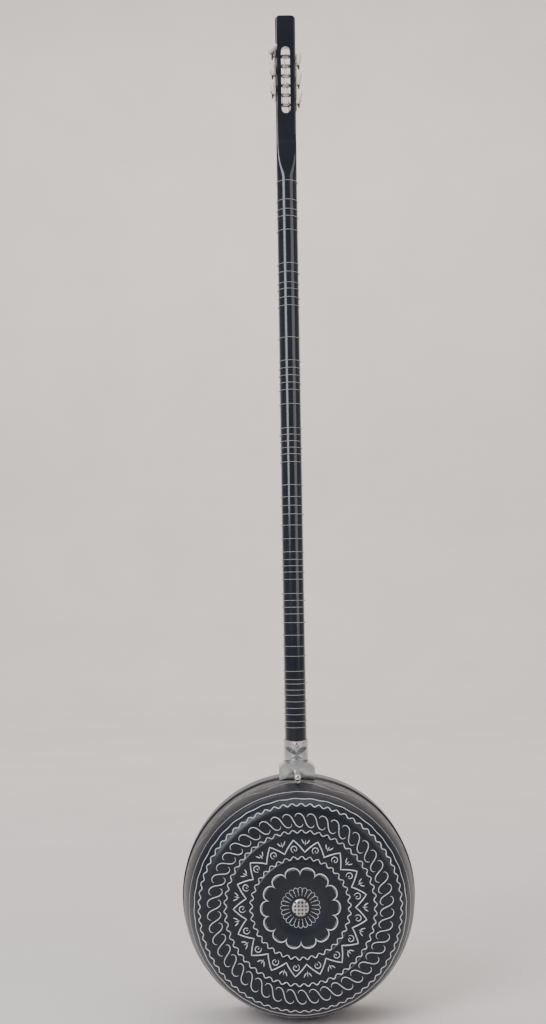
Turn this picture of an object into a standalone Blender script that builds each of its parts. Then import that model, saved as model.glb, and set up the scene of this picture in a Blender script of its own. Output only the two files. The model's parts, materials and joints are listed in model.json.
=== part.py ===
"""Long-neck tanbur with a spun metal pot, a tied-fret neck and a slotted headstock.

Metres, +Z up along the neck.  The back of the pot faces -Y, the skin faces +Y, and the
origin is the lowest point of the pot's rim.  Each piece of the instrument is one object.
"""
import math

import bmesh
import bpy
from mathutils import Matrix, Vector

# Clearances and seats
GAP = 0.0003            # between touching pieces
SLIDE = 0.0006          # where a piece moves past another

# Pot: a spun bowl with a straight barrel that holds the skin
RIM_R = 0.150           # outer radius of the barrel
POT_WALL = 0.0015
BARREL_DEPTH = 0.030    # from the rim plane back to the step
RIM_FRONT = 0.006       # how far the barrel reaches in front of the rim plane
STEP = 0.002            # the bowl is this much smaller than the barrel
BACK_DEPTH = 0.108      # rim plane to the flat back
FLAT_R = 0.1145         # radius of the flat back
DISH_R = 0.0365
DISH_SINK = 0.0045
DISH_FLAT_R = 0.014
GROOVE_RADII = (0.0605, 0.0925)
GROOVE_HALF = 0.0042
GROOVE_SINK = 0.0015
POT_SIDES = 56
SHOULDER_STEPS = 7

# Boss in the middle of the back
BOSS_R = 0.0108
BOSS_HEIGHT = 0.0046
BOSS_STUD_R = 0.0032
BOSS_STUD = 0.0072
BOSS_NUT_R = 0.0062
BOSS_NUT_HEIGHT = 0.0032

# Skin, hoops and tension bolts
SKIN_FRONT = 0.0065     # skin surface in front of the rim plane
SKIN_THICK = 0.0005
SKIN_TUCK = 0.0040      # how far the tucked edge runs back from the rim plane
BEARING_R = 0.1300      # inner radius of the bearing ring
BEARING_WALL = 0.0041
LEDGE_THICK = 0.0027
HOOP_THICK = 0.0025
HOOP_DEPTH = 0.0030
RING_THICK = 0.0027     # tension ring's flange
RING_R = 0.1495
BOLT_COUNT = 8
BOLT_CIRCLE = 0.1425
BOLT_R = 0.0022
BOLT_HEAD_R = 0.0044
BOLT_HEAD = 0.0036

# Neck and fingerboard
FINGERBOARD_TOP = 0.0120
FINGERBOARD_THICK = 0.0040
NECK_HALF_NUT = 0.0139
NECK_HALF_HEEL = 0.0144
NECK_DEPTH_NUT = 0.0190
NECK_DEPTH_HEEL = 0.0240
NECK_SIDE = 0.0050      # flat side below the fingerboard
ARC_STEPS = 6

# Strings, nut and bridge
STRING_LENGTH = 1.090   # nut to bridge
NUT_Z = 1.1550
NUT_THICK = 0.0040
NUT_STRING_RISE = 0.0015
BRIDGE_RISE = 0.0140    # string height over the skin at the bridge
BRIDGE_HALF = 0.0230
BRIDGE_THICK = 0.0050
COURSE_NUT = 0.0068
COURSE_BRIDGE = 0.0125
PAIR_NUT = 0.0012
PAIR_BRIDGE = 0.0016
WIRE_RADII = (0.00022, 0.00022, 0.00026, 0.00026, 0.00038, 0.00038)

# Fret places in commas above the open string, 53 commas to the octave
FRET_COMMAS = (
    4, 6, 7, 7.75, 9.25, 13, 14, 15.25, 16, 17, 18, 22,
    25, 26, 27, 28, 29, 31, 34.5, 35.5, 36.5, 37.5, 38.5, 39.75,
    43.5, 45.5, 47, 48.5, 50.5, 53, 55.5, 57, 58.25, 59.5, 61,
    64, 65.5, 67, 68.5, 70.5, 73.5, 76.25, 78.75,
    82.75, 85, 86.25, 88, 89.5, 91.5, 93.5, 95.5, 97.75, 99.75,
)
COMMAS_PER_OCTAVE = 53
FRET_HALF = 0.00042

# Headstock, leaning back from the nut
HEAD_TILT = math.radians(14)
HEAD_HALF = 0.0137
HEAD_LENGTH = 0.1650
HEAD_THICK = 0.0170
HEAD_CORNER = 0.0048
HEAD_LAP = 0.0008       # how far the head laps the neck
SLOT_HALF = 0.0060
SLOT_START = 0.0385
SLOT_END = 0.1250
RAMP_START = 0.0175
RAMP_DEPTH = 0.0065
RAMP_HALF = 0.0078
VOLUTE_START = 0.050    # below the nut, where the round back starts to flatten

# Tuning machines
TUNERS = 6
ROLLER_FIRST = 0.0503
ROLLER_PITCH = 0.0126
ROLLER_R = 0.0028
ROLLER_SHAFT_R = 0.0017
ROLLER_FAR = 0.0100     # how deep the far bearing hole is
GEAR_TEETH = 14
GEAR_TIP_R = 0.0045
GEAR_ROOT_R = 0.0037
GEAR_THICK = 0.0022
WORM_ROOT_R = 0.0017
WORM_TIP_R = 0.0024
WORM_TURNS = 3.5
WORM_SHAFT_R = 0.0012
PLATE_THICK = 0.0012
PLATE_HALF = 0.0064     # half the plate's width
PLATE_END = 0.0085      # plate past the outer rollers
EAR_THICK = 0.0014
EAR_HALF = 0.0030
BUTTON_LENGTH = 0.0150
BUTTON_WIDE = 0.0180
BUTTON_THICK = 0.0064
BUTTON_REACH = 0.0135   # from the rollers' plane back to the button
BUTTON_TURNS = (20, -15, 10, -8, 4, 45)

# Heel: a cast socket hinged in a cast shoe on the pot's side
SOCKET_WALL = 0.0012
SOCKET_FLOOR = 0.0020
SOCKET_HEIGHT = 0.0264
SOCKET_HOLLOW = 0.0016  # how far the top edge dips
SHOE_HALF = 0.0232
SHOE_SHOULDER = 0.0165
SHOE_HEIGHT = 0.0175
SHOE_SIDE = 0.0120
SHOE_FRONT = -0.0020
SHOE_REAR_WALL = 0.0083
TANG_HALF = 0.0080
TANG_FRONT = -0.0010
TANG_BACK = -0.0300
HINGE_Y = -0.0060
HINGE_RISE = 0.0095     # pin above the barrel
PIN_R = 0.0020
ADJUST_RISE = 0.0027
ADJUST_R = 0.0024
ADJUST_REACH = 0.0300   # screw behind the shoe
WING_HALF = 0.0075
HEEL_SCREW_RISE = 0.0180
HEEL_SCREW_R = 0.0022
HEEL_SCREW_HEAD_R = 0.0042
SHOE_SCREW_X = 0.0160
SHOE_SCREW_Y = -0.0140
SHOE_SCREW_R = 0.0020
BACKING_HALF = 0.0220
BACKING_THICK = 0.0020
BACKING_FRONT = -0.0040
BACKING_DEPTH = 0.0200

# Tailpiece
TAIL_HALF = 0.0210
TAIL_LOW = 0.0045
TAIL_HIGH = 0.0345
TAIL_THICK = 0.0012
TAIL_BAR = 0.0040
TAIL_SCREW_X = 0.0150
TAIL_SCREW_Z = 0.0085
TAIL_SCREW_R = 0.0015

# Places that follow from the sizes above
CENTRE_Z = RIM_R
BOWL_R = RIM_R - STEP
RIM_TOP = CENTRE_Z + RIM_R
SHOE_TOP = RIM_TOP + SHOE_HEIGHT
SOCKET_BOTTOM = SHOE_TOP + SLIDE
NECK_BOTTOM = SOCKET_BOTTOM + SOCKET_FLOOR + GAP
SOCKET_TOP = SOCKET_BOTTOM + SOCKET_HEIGHT
HINGE_Z = RIM_TOP + HINGE_RISE
NECK_FRONT = FINGERBOARD_TOP - FINGERBOARD_THICK - GAP
NUT_BOTTOM = NUT_Z - NUT_THICK / 2
NUT_TOP = NUT_Z + NUT_THICK / 2
STRING_NUT_Y = FINGERBOARD_TOP + NUT_STRING_RISE
STRING_BRIDGE_Y = SKIN_FRONT + BRIDGE_RISE
BRIDGE_Z = NUT_Z - STRING_LENGTH
HEAD_ORIGIN = Vector((0, NECK_FRONT, NUT_TOP))
ROLLER_Y = -HEAD_THICK / 2
WORM_GAP = GEAR_TIP_R + WORM_ROOT_R + 0.0002
PLATE_X = HEAD_HALF + GAP
WORM_X = PLATE_X + PLATE_THICK + GAP + WORM_TIP_R
GEAR_X = WORM_X - GEAR_THICK / 2
GEAR_PITCH_R = (GEAR_TIP_R + GEAR_ROOT_R) / 2 + 0.0001
WORM_PITCH = 2 * math.pi * GEAR_PITCH_R / GEAR_TEETH
RING_BACK = -RIM_FRONT - SLIDE
RING_FACE = RING_BACK - RING_THICK

# Directions: an outline drawn flat in X and Y is stood up by one of these
FLAT = Matrix.Identity(4)
UPRIGHT = Matrix.Rotation(math.pi / 2, 4, "X")
SIDEWAYS = Matrix(((0, 0, 1, 0), (1, 0, 0, 0), (0, 1, 0, 0), (0, 0, 0, 1)))


# Scene, collections and materials
def clear_scene():
    for old in list(bpy.data.objects):
        bpy.data.objects.remove(old, do_unlink=True)


def new_collection(name):
    group = bpy.data.collections.new(name)
    bpy.context.scene.collection.children.link(group)
    return group


def new_material(name, colour, roughness, metallic):
    paint = bpy.data.materials.new(name)
    paint.use_nodes = True
    shader = paint.node_tree.nodes["Principled BSDF"]
    shader.inputs["Base Color"].default_value = (*colour, 1)
    shader.inputs["Roughness"].default_value = roughness
    shader.inputs["Metallic"].default_value = metallic
    return paint


clear_scene()
PARTS = new_collection("tanbur")
CUTTERS = new_collection("cutters")
FINISHES = {
    "pot paint": ((0.03, 0.035, 0.045), 0.35, 0.4),
    "black lacquer": ((0.012, 0.012, 0.015), 0.15, 0.0),
    "ebony": ((0.03, 0.02, 0.015), 0.4, 0.0),
    "bone": ((0.8, 0.76, 0.66), 0.4, 0.0),
    "skin": ((0.85, 0.82, 0.74), 0.5, 0.0),
    "cast alloy": ((0.7, 0.7, 0.7), 0.3, 1.0),
    "nickel": ((0.75, 0.74, 0.72), 0.2, 1.0),
    "bronze": ((0.16, 0.12, 0.08), 0.4, 1.0),
    "steel": ((0.6, 0.6, 0.62), 0.25, 1.0),
    "cream plastic": ((0.86, 0.8, 0.68), 0.3, 0.0),
    "maple": ((0.55, 0.38, 0.2), 0.5, 0.0),
}


# Modelling helpers
def add_object(name, data, matrix=FLAT, parent=None, group=None):
    obj = bpy.data.objects.new(name, data)
    (group or PARTS).objects.link(obj)
    obj.parent = parent
    obj.matrix_basis = matrix
    return obj


def finish(obj, paint):
    colour, roughness, metallic = FINISHES[paint]
    obj.data.materials.append(new_material(obj.name + " " + paint, colour, roughness, metallic))
    return obj


def smooth(obj, angle=30):
    obj.data.shade_smooth()
    obj.data.set_sharp_from_angle(angle=math.radians(angle))
    return obj


def body_frame(name, matrix, parent=None):
    frame = add_object(name, None, matrix, parent)
    frame.empty_display_size = 0.02
    return frame


def bmesh_object(name, bm, matrix=FLAT, parent=None):
    mesh = bpy.data.meshes.new(name)
    bm.to_mesh(mesh)
    bm.free()
    return add_object(name, mesh, matrix, parent)


def as_mesh(obj):
    """Turn a curve, or an object with modifiers, into a welded mesh."""
    bpy.context.view_layer.update()
    shape = obj.evaluated_get(bpy.context.evaluated_depsgraph_get())
    mesh = bpy.data.meshes.new_from_object(shape)
    bm = bmesh.new()
    bm.from_mesh(mesh)
    bmesh.ops.remove_doubles(bm, verts=bm.verts, dist=1e-6)
    bm.to_mesh(mesh)
    bm.free()
    name, matrix, parent = obj.name, obj.matrix_basis.copy(), obj.parent
    bpy.data.objects.remove(obj, do_unlink=True)
    return add_object(name, mesh, matrix, parent)


def turned(name, profile, sides, matrix=FLAT, parent=None, closed=True):
    """Spin a profile of (radius, height) points, given clockwise, about local Z."""
    mesh = bpy.data.meshes.new(name)
    points = [(radius, 0, height) for radius, height in profile]
    edges = [(i, i + 1) for i in range(len(points) - 1)]
    if closed:
        edges.append((len(points) - 1, 0))
    mesh.from_pydata(points, edges, [])
    obj = add_object(name, mesh, matrix, parent)
    screw = obj.modifiers.new("turn", "SCREW")
    screw.steps = sides
    screw.render_steps = sides
    screw.use_merge_vertices = True
    screw.merge_threshold = 1e-6
    screw.use_smooth_shade = True
    return obj


def outline(name, loops, thickness, matrix=FLAT, parent=None):
    """A flat outline, with holes, as a plate centred on its own plane."""
    curve = bpy.data.curves.new(name, "CURVE")
    curve.dimensions = "2D"
    curve.fill_mode = "BOTH"
    curve.extrude = thickness / 2
    for loop in loops:
        spline = curve.splines.new("POLY")
        spline.points.add(len(loop) - 1)
        for point, (x, y) in zip(spline.points, loop):
            point.co = (x, y, 0, 1)
        spline.use_cyclic_u = True
    return as_mesh(add_object(name, curve, matrix, parent))


def rod(name, start, end, radius, sides=12, tip_radius=None, parent=None):
    """A straight round bar between two points."""
    start, end = Vector(start), Vector(end)
    along = end - start
    bm = bmesh.new()
    tip = radius if tip_radius is None else tip_radius
    bmesh.ops.create_cone(
        bm, cap_ends=True, segments=sides, radius1=radius, radius2=tip, depth=along.length)
    turn = along.to_track_quat("Z", "Y").to_matrix().to_4x4()
    bmesh.ops.transform(bm, matrix=Matrix.Translation((start + end) / 2) @ turn, verts=bm.verts)
    return bmesh_object(name, bm, parent=parent)


def block(name, low, high, parent=None):
    low, high = Vector(low), Vector(high)
    bm = bmesh.new()
    bmesh.ops.create_cube(bm, size=1)
    bmesh.ops.scale(bm, vec=high - low, verts=bm.verts)
    bmesh.ops.translate(bm, vec=(low + high) / 2, verts=bm.verts)
    return bmesh_object(name, bm, parent=parent)


def wire(name, radius, points, parent=None):
    """A thin wire through its own points."""
    curve = bpy.data.curves.new(name, "CURVE")
    curve.dimensions = "3D"
    curve.bevel_depth = radius
    curve.bevel_resolution = 1
    curve.use_fill_caps = True
    spline = curve.splines.new("POLY")
    spline.points.add(len(points) - 1)
    for knot, place in zip(spline.points, points):
        knot.co = (*place, 1)
    return add_object(name, curve, parent=parent)


def loft(name, sections, matrix=FLAT, parent=None):
    """Skin over rings of points that all have the same count, and cap the two ends."""
    bm = bmesh.new()
    rings = [[bm.verts.new(point) for point in ring] for ring in sections]
    for low, high in zip(rings, rings[1:]):
        for i in range(len(low)):
            j = (i + 1) % len(low)
            bm.faces.new((low[i], low[j], high[j], high[i]))
    bm.faces.new(reversed(rings[0]))
    bm.faces.new(rings[-1])
    bmesh.ops.recalc_face_normals(bm, faces=bm.faces)
    return bmesh_object(name, bm, matrix, parent)


def fuse_meshes(name, pieces):
    """Put separate shapes, each under the same parent, into one cutter or group."""
    parent = pieces[0].parent
    bm = bmesh.new()
    for piece in pieces:
        copy = piece.data.copy()
        copy.transform(piece.matrix_basis)
        bm.from_mesh(copy)
        bpy.data.meshes.remove(copy)
        bpy.data.objects.remove(piece, do_unlink=True)
    return bmesh_object(name, bm, parent=parent)


def combine(obj, tool, operation):
    PARTS.objects.unlink(tool)
    CUTTERS.objects.link(tool)
    tool.hide_render = True
    tool.display_type = "WIRE"
    step = obj.modifiers.new(tool.name, "BOOLEAN")
    step.operation = operation
    step.solver = "EXACT"
    step.object = tool
    return obj


def cut(obj, tool):
    return combine(obj, tool, "DIFFERENCE")


def join(obj, tool):
    return combine(obj, tool, "UNION")


def arc(centre, radius, start, end, steps):
    points = []
    for i in range(steps + 1):
        angle = math.radians(start + (end - start) * i / steps)
        points.append((centre[0] + radius * math.cos(angle), centre[1] + radius * math.sin(angle)))
    return points


# Frames of the moving bodies
POT_FRAME = body_frame("pot_axis", Matrix.Translation((0, 0, CENTRE_Z)) @ UPRIGHT)
HINGE = Vector((0, HINGE_Y, HINGE_Z))
NECK_FRAME = body_frame("neck_hinge", Matrix.Translation(HINGE))
FROM_HINGE = Matrix.Translation(-HINGE)
HEAD_MATRIX = Matrix.Translation(HEAD_ORIGIN) @ Matrix.Rotation(HEAD_TILT, 4, "X")
HEAD_FRAME = body_frame("head_frame", FROM_HINGE @ HEAD_MATRIX, NECK_FRAME)
STRING_HINGE = Vector((0, STRING_BRIDGE_Y, BRIDGE_Z))
STRING_FRAME = body_frame("string_hinge", Matrix.Translation(STRING_HINGE))


# Pot and skin, drawn as (radius, depth behind the rim plane)
def shoulder(radius_cut, depth_cut):
    """The rounded side of the bowl, a quarter ellipse from the flat back to the step."""
    points = []
    for i in range(1, SHOULDER_STEPS):
        angle = math.pi / 2 * i / SHOULDER_STEPS
        radius = FLAT_R + (BOWL_R - radius_cut - FLAT_R) * math.sin(angle)
        side = BARREL_DEPTH + STEP
        depth = side + (BACK_DEPTH - depth_cut - side) * math.cos(angle)
        points.append((radius, depth))
    return points


def pressed_back(depth_cut):
    """The flat back from its middle outwards, with the dish and the two pressed grooves."""
    floor = BACK_DEPTH - DISH_SINK - depth_cut
    flat = BACK_DEPTH - depth_cut
    points = [(BOSS_STUD_R + GAP, floor), (DISH_FLAT_R, floor)]
    points += [((DISH_FLAT_R + DISH_R) / 2, floor + DISH_SINK * 0.3), (DISH_R, flat)]
    for groove in GROOVE_RADII:
        points += [(groove - GROOVE_HALF, flat), (groove, flat - GROOVE_SINK)]
        points.append((groove + GROOVE_HALF, flat))
    points.append((FLAT_R, flat))
    return points


def make_pot():
    outer = pressed_back(0) + shoulder(0, 0)
    outer += [(BOWL_R, BARREL_DEPTH + STEP), (RIM_R, BARREL_DEPTH), (RIM_R, -RIM_FRONT)]
    barrel = RIM_R - POT_WALL
    inner = pressed_back(POT_WALL) + shoulder(POT_WALL, POT_WALL)
    inner += [(BOWL_R - POT_WALL, BARREL_DEPTH - GAP), (barrel, BARREL_DEPTH - SLIDE)]
    inner.append((barrel, -RIM_FRONT))
    pot = turned("pot_shell", outer + inner[::-1], POT_SIDES, parent=POT_FRAME)
    pot = as_mesh(pot)
    holes = []
    for side in (-1, 1):
        x = side * SHOE_SCREW_X
        low = (x, RIM_R - 0.012, -SHOE_SCREW_Y)
        high = (x, RIM_R + 0.004, -SHOE_SCREW_Y)
        holes.append(rod("hole", low, high, SHOE_SCREW_R + GAP, parent=POT_FRAME))
    cut(pot, fuse_meshes("pot_screw_holes", holes))
    return smooth(finish(pot, "pot paint"), 35)


def make_boss():
    floor = BACK_DEPTH - DISH_SINK + GAP
    dome = [(BOSS_R * math.sin(math.radians(a)), floor + 0.0012 +
             (BOSS_HEIGHT - 0.0012) * math.cos(math.radians(a))) for a in (0, 20, 40, 60, 78, 90)]
    profile = dome + [(BOSS_R, floor), (BOSS_STUD_R, floor), (BOSS_STUD_R, floor - BOSS_STUD)]
    profile.append((0, floor - BOSS_STUD))
    boss = turned("centre_boss", profile, 24, parent=POT_FRAME, closed=False)
    finish(boss, "cast alloy")
    seat = BACK_DEPTH - DISH_SINK - POT_WALL - GAP
    hexagon = arc((0, 0), BOSS_NUT_R, 0, 300, 5)
    bore = arc((0, 0), BOSS_STUD_R + GAP, 0, 330, 11)
    place = Matrix.Translation((0, 0, seat - BOSS_NUT_HEIGHT / 2))
    nut = outline("boss_nut", [hexagon, bore], BOSS_NUT_HEIGHT, place, POT_FRAME)
    finish(nut, "steel")


def bolt_rods(name, radius, low, high, sides):
    """One rod at each tension bolt's place, as a tool for a Boolean."""
    pieces = []
    for i in range(BOLT_COUNT):
        angle = 2 * math.pi * (i + 0.5) / BOLT_COUNT
        x, y = BOLT_CIRCLE * math.cos(angle), BOLT_CIRCLE * math.sin(angle)
        pieces.append(rod("bolt", (x, y, low), (x, y, high), radius, sides, parent=POT_FRAME))
    return fuse_meshes(name, pieces)


def make_skin():
    wall = BEARING_R + BEARING_WALL
    ledge = BARREL_DEPTH - SLIDE - GAP
    ledge_low = ledge - LEDGE_THICK
    crown = -SKIN_FRONT + SKIN_THICK + GAP
    ledge_r = RIM_R - POT_WALL - GAP
    profile = [(BEARING_R, ledge), (ledge_r, ledge), (ledge_r, ledge_low), (wall, ledge_low)]
    profile += [(wall, crown), (BEARING_R, crown)]
    bearing = as_mesh(turned("bearing_ring", profile, POT_SIDES, parent=POT_FRAME))
    cut(bearing, bolt_rods("ledge_holes", BOLT_R + GAP, ledge_low - 0.001, ledge + 0.001, 8))
    smooth(finish(bearing, "cast alloy"))

    skirt = wall + GAP
    back, front = -SKIN_FRONT + SKIN_THICK, -SKIN_FRONT
    profile = [(0, back), (skirt, back), (skirt, SKIN_TUCK), (skirt + SKIN_THICK, SKIN_TUCK)]
    profile += [(skirt + SKIN_THICK, front), (0, front)]
    skin = turned("drum_head", profile, POT_SIDES, parent=POT_FRAME, closed=False)
    finish(skin, "skin")

    hoop_in = skirt + SKIN_THICK + GAP
    hoop_out = hoop_in + HOOP_THICK
    low = SKIN_TUCK - HOOP_DEPTH
    profile = [(hoop_in, SKIN_TUCK), (hoop_out, SKIN_TUCK), (hoop_out, low), (hoop_in, low)]
    finish(turned("flesh_hoop", profile, POT_SIDES, parent=POT_FRAME), "steel")

    lip = low - GAP
    profile = [(hoop_in, lip), (hoop_out, lip), (hoop_out, RING_BACK), (RING_R, RING_BACK)]
    profile += [(RING_R, RING_FACE), (hoop_in, RING_FACE)]
    ring = as_mesh(turned("tension_ring", profile, POT_SIDES, parent=POT_FRAME))
    join(ring, bolt_rods("bolt_shanks", BOLT_R, RING_FACE + 0.0005, ledge - SLIDE, 8))
    join(ring, bolt_rods("bolt_heads", BOLT_HEAD_R, RING_FACE - BOLT_HEAD, RING_FACE + 0.0003, 6))
    screw_holes = []
    for side in (-1, 1):
        x, y = side * TAIL_SCREW_X, TAIL_SCREW_Z - CENTRE_Z
        low, high = (x, y, RING_FACE - 0.001), (x, y, RING_BACK + 0.001)
        screw_holes.append(rod("hole", low, high, TAIL_SCREW_R + GAP, 8, parent=POT_FRAME))
    cut(ring, fuse_meshes("ring_tail_holes", screw_holes))
    smooth(finish(ring, "nickel"))


# Neck: the section at a height, grown by an offset on every side
def neck_section(z, grow=0.0, square=0.0, front=None):
    share = (z - NECK_BOTTOM) / (NUT_Z - NECK_BOTTOM)
    half = NECK_HALF_HEEL + (NECK_HALF_NUT - NECK_HALF_HEEL) * share
    deep = NECK_DEPTH_HEEL + (NECK_DEPTH_NUT - NECK_DEPTH_HEEL) * share
    front = NECK_FRONT if front is None else front
    side_y = NECK_FRONT - NECK_SIDE
    power = 1 / (1 + 3 * square)
    points = [(half + grow, front, z)]
    for i in range(ARC_STEPS + 1):
        angle = math.pi * i / ARC_STEPS
        across = math.copysign(abs(math.cos(angle)) ** power, math.cos(angle))
        down = math.sin(angle) ** power
        x = (half + grow) * across
        points.append((x, side_y - (deep - NECK_SIDE + grow) * down, z))
    points.append((-half - grow, front, z))
    return points


def head_slab():
    half, top, corner = HEAD_HALF, HEAD_LENGTH, HEAD_CORNER
    outer = [(half, -HEAD_LAP)] + arc((half - corner, top - corner), corner, 0, 90, 4)
    outer += arc((-half + corner, top - corner), corner, 90, 180, 4) + [(-half, -HEAD_LAP)]
    slot = arc((0, SLOT_END - SLOT_HALF), SLOT_HALF, 0, 180, 8)
    slot += arc((0, SLOT_START + SLOT_HALF), SLOT_HALF, 180, 360, 8)
    place = Matrix.Translation((0, ROLLER_Y, 0)) @ UPRIGHT
    return outline("head_slab", [outer, slot], HEAD_THICK, place, HEAD_FRAME)


def fret_height(commas):
    return NUT_Z - STRING_LENGTH * (1 - 2 ** (-commas / COMMAS_PER_OCTAVE))


def fret_stations():
    """Heights along the neck and how far each tied loop of line stands out there."""
    stations = []
    for commas in reversed(FRET_COMMAS):
        z = fret_height(commas)
        stations += [(z - FRET_HALF, 0), (z, 2 * FRET_HALF), (z + FRET_HALF, 0)]
    return stations


def flattening(z):
    """0 on the round neck, rising smoothly to 1 where the headstock begins."""
    start, end = NUT_Z - VOLUTE_START, NUT_TOP - HEAD_LAP / 2
    share = max(0, (z - start) / (end - start))
    return share * share * (3 - 2 * share)


def make_neck():
    stations = [(NECK_BOTTOM, 0)] + fret_stations()
    top = NUT_TOP - HEAD_LAP / 2
    last = stations[-1][0]
    stations += [(last + (top - last) * share, 0) for share in (0.33, 0.66, 1)]
    sections = []
    for z, grow in stations:
        ring = neck_section(z, square=flattening(z), grow=grow, front=NECK_FRONT)
        sections.append(ring)
    neck = loft("neck", sections, FROM_HINGE, NECK_FRAME)
    cut(neck, heel_screw_hole("neck_screw_hole"))
    join(neck, head_slab())
    ramp_end = SLOT_START + SLOT_HALF * 0.7
    ramp = [(0.001, RAMP_START), (0.001, ramp_end), (-RAMP_DEPTH, ramp_end)]
    cut(neck, outline("string_ramp", [ramp], 2 * RAMP_HALF, SIDEWAYS, HEAD_FRAME))
    holes = []
    for i in range(TUNERS):
        side = tuner_side(i)
        z = roller_height(i)
        start = (side * (HEAD_HALF + 0.002), ROLLER_Y, z)
        end = (-side * (ROLLER_FAR + SLIDE), ROLLER_Y, z)
        holes.append(rod("hole", start, end, ROLLER_SHAFT_R + GAP, 10, parent=HEAD_FRAME))
    cut(neck, fuse_meshes("roller_holes", holes))
    return smooth(finish(neck, "black lacquer"), 40)


# Strings: six wires in three pairs
def string_x(index, course, pair):
    middle = (index // 2 - 1) * course
    return middle + (pair if index % 2 else -pair)


def nut_x(index):
    return string_x(index, COURSE_NUT, PAIR_NUT)


def bridge_x(index):
    return string_x(index, COURSE_BRIDGE, PAIR_BRIDGE)


def make_fingerboard():
    stations = [(NECK_BOTTOM, 0), *fret_stations(), (NUT_BOTTOM - GAP, 0)]
    sections = []
    for z, grow in stations:
        half = neck_section(z)[0][0] + grow
        low, high = NECK_FRONT + GAP, FINGERBOARD_TOP + grow
        sections.append([(half, high, z), (half, low, z), (-half, low, z), (-half, high, z)])
    finish(loft("fingerboard", sections, FROM_HINGE, NECK_FRAME), "ebony")


def make_nut():
    half = neck_section(NUT_Z)[0][0]
    top = STRING_NUT_Y + max(WIRE_RADII)
    nut = block("nut", (-half, NECK_FRONT + GAP, NUT_BOTTOM), (half, top, NUT_TOP - GAP), NECK_FRAME)
    nut.matrix_basis = FROM_HINGE
    slots = []
    for i, radius in enumerate(WIRE_RADII):
        x, side = nut_x(i), radius + GAP
        low = (x - side, STRING_NUT_Y - radius - GAP, NUT_BOTTOM - 0.001)
        high = (x + side, top + 0.001, NUT_TOP + 0.001)
        slots.append(block("slot", low, high, NECK_FRAME))
    slots = fuse_meshes("nut_slots", slots)
    slots.matrix_basis = FROM_HINGE
    cut(nut, slots)
    finish(nut, "bone")


def make_bridge():
    base, top = SKIN_FRONT + GAP, STRING_BRIDGE_Y - GAP
    half = BRIDGE_HALF
    crown = COURSE_BRIDGE + PAIR_BRIDGE + 0.003
    arch = 0.0062
    points = [(-half, base)] + arc((-half / 2 + 0.0012, base), arch, 180, 0, 6)
    points += arc((half / 2 - 0.0012, base), arch, 180, 0, 6)
    points += [(half, base), (half, base + 0.003), (crown, top)]
    points += [(-crown, top), (-half, base + 0.003)]
    place = Matrix.Translation((0, 0, BRIDGE_Z))
    bridge = outline("bridge", [points], BRIDGE_THICK, place)
    notches = []
    for i, radius in enumerate(WIRE_RADII):
        x, side = bridge_x(i), radius + GAP
        low = (x - side, STRING_BRIDGE_Y - radius - GAP, BRIDGE_Z - 0.01)
        high = (x + side, STRING_BRIDGE_Y + 0.002, BRIDGE_Z + 0.01)
        notches.append(block("notch", low, high))
    cut(bridge, fuse_meshes("bridge_notches", notches))
    finish(bridge, "maple")


def tuner_side(index):
    """Rollers are counted from the nut; the first turns from the right-hand plate."""
    return 1 if index % 2 == 0 else -1


def roller_height(index):
    return ROLLER_FIRST + ROLLER_PITCH * index


# The roller that each string goes to, from the leftmost string to the rightmost
STRING_ROLLERS = (1, 3, 5, 4, 2, 0)
ROLLER_STRING_X = (-0.0044, -0.0029, -0.0012, 0.0012, 0.0029, 0.0044)


def head_string(index):
    """From the nut over the slot to its roller and two turns round it, in head places."""
    radius = WIRE_RADII[index]
    nut_point = HEAD_MATRIX.inverted() @ Vector((nut_x(index), STRING_NUT_Y, NUT_TOP))
    centre_z = roller_height(STRING_ROLLERS[index])
    wrap = ROLLER_R + GAP + radius
    x = ROLLER_STRING_X[index]
    outward = math.copysign(2 * radius + GAP, -x)
    points = [nut_point]
    steps, turns = 9, 2
    for i in range(steps * turns + 1):
        angle = 2 * math.pi * i / steps
        y = ROLLER_Y + wrap * math.cos(angle)
        points.append(Vector((x + outward * i / steps, y, centre_z + wrap * math.sin(angle))))
    return points


def make_strings():
    """The length that sounds swings on the bridge; the length past the nut is wound on."""
    for i, radius in enumerate(WIRE_RADII):
        bridge_point = Vector((bridge_x(i), 0, -BRIDGE_THICK / 2))
        nut_point = Vector((nut_x(i), STRING_NUT_Y, NUT_TOP - SLIDE)) - STRING_HINGE
        string = wire("string_" + str(i + 1), radius, [bridge_point, nut_point], STRING_FRAME)
        finish(string, "steel")
        winding = wire("string_winding_" + str(i + 1), radius, head_string(i), HEAD_FRAME)
        finish(winding, "steel")


# Tuning machines, in the headstock's own frame
def gear_outline():
    """Straight-sided teeth, one of them pointing up at the worm."""
    points = []
    share = math.pi / GEAR_TEETH
    for i in range(GEAR_TEETH):
        middle = math.pi / 2 + 2 * math.pi * i / GEAR_TEETH
        for turn, radius in ((-0.50, GEAR_ROOT_R), (-0.22, GEAR_TIP_R),
                             (0.22, GEAR_TIP_R), (0.50, GEAR_ROOT_R)):
            angle = middle + turn * share
            points.append((radius * math.cos(angle), radius * math.sin(angle)))
    return points


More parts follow.
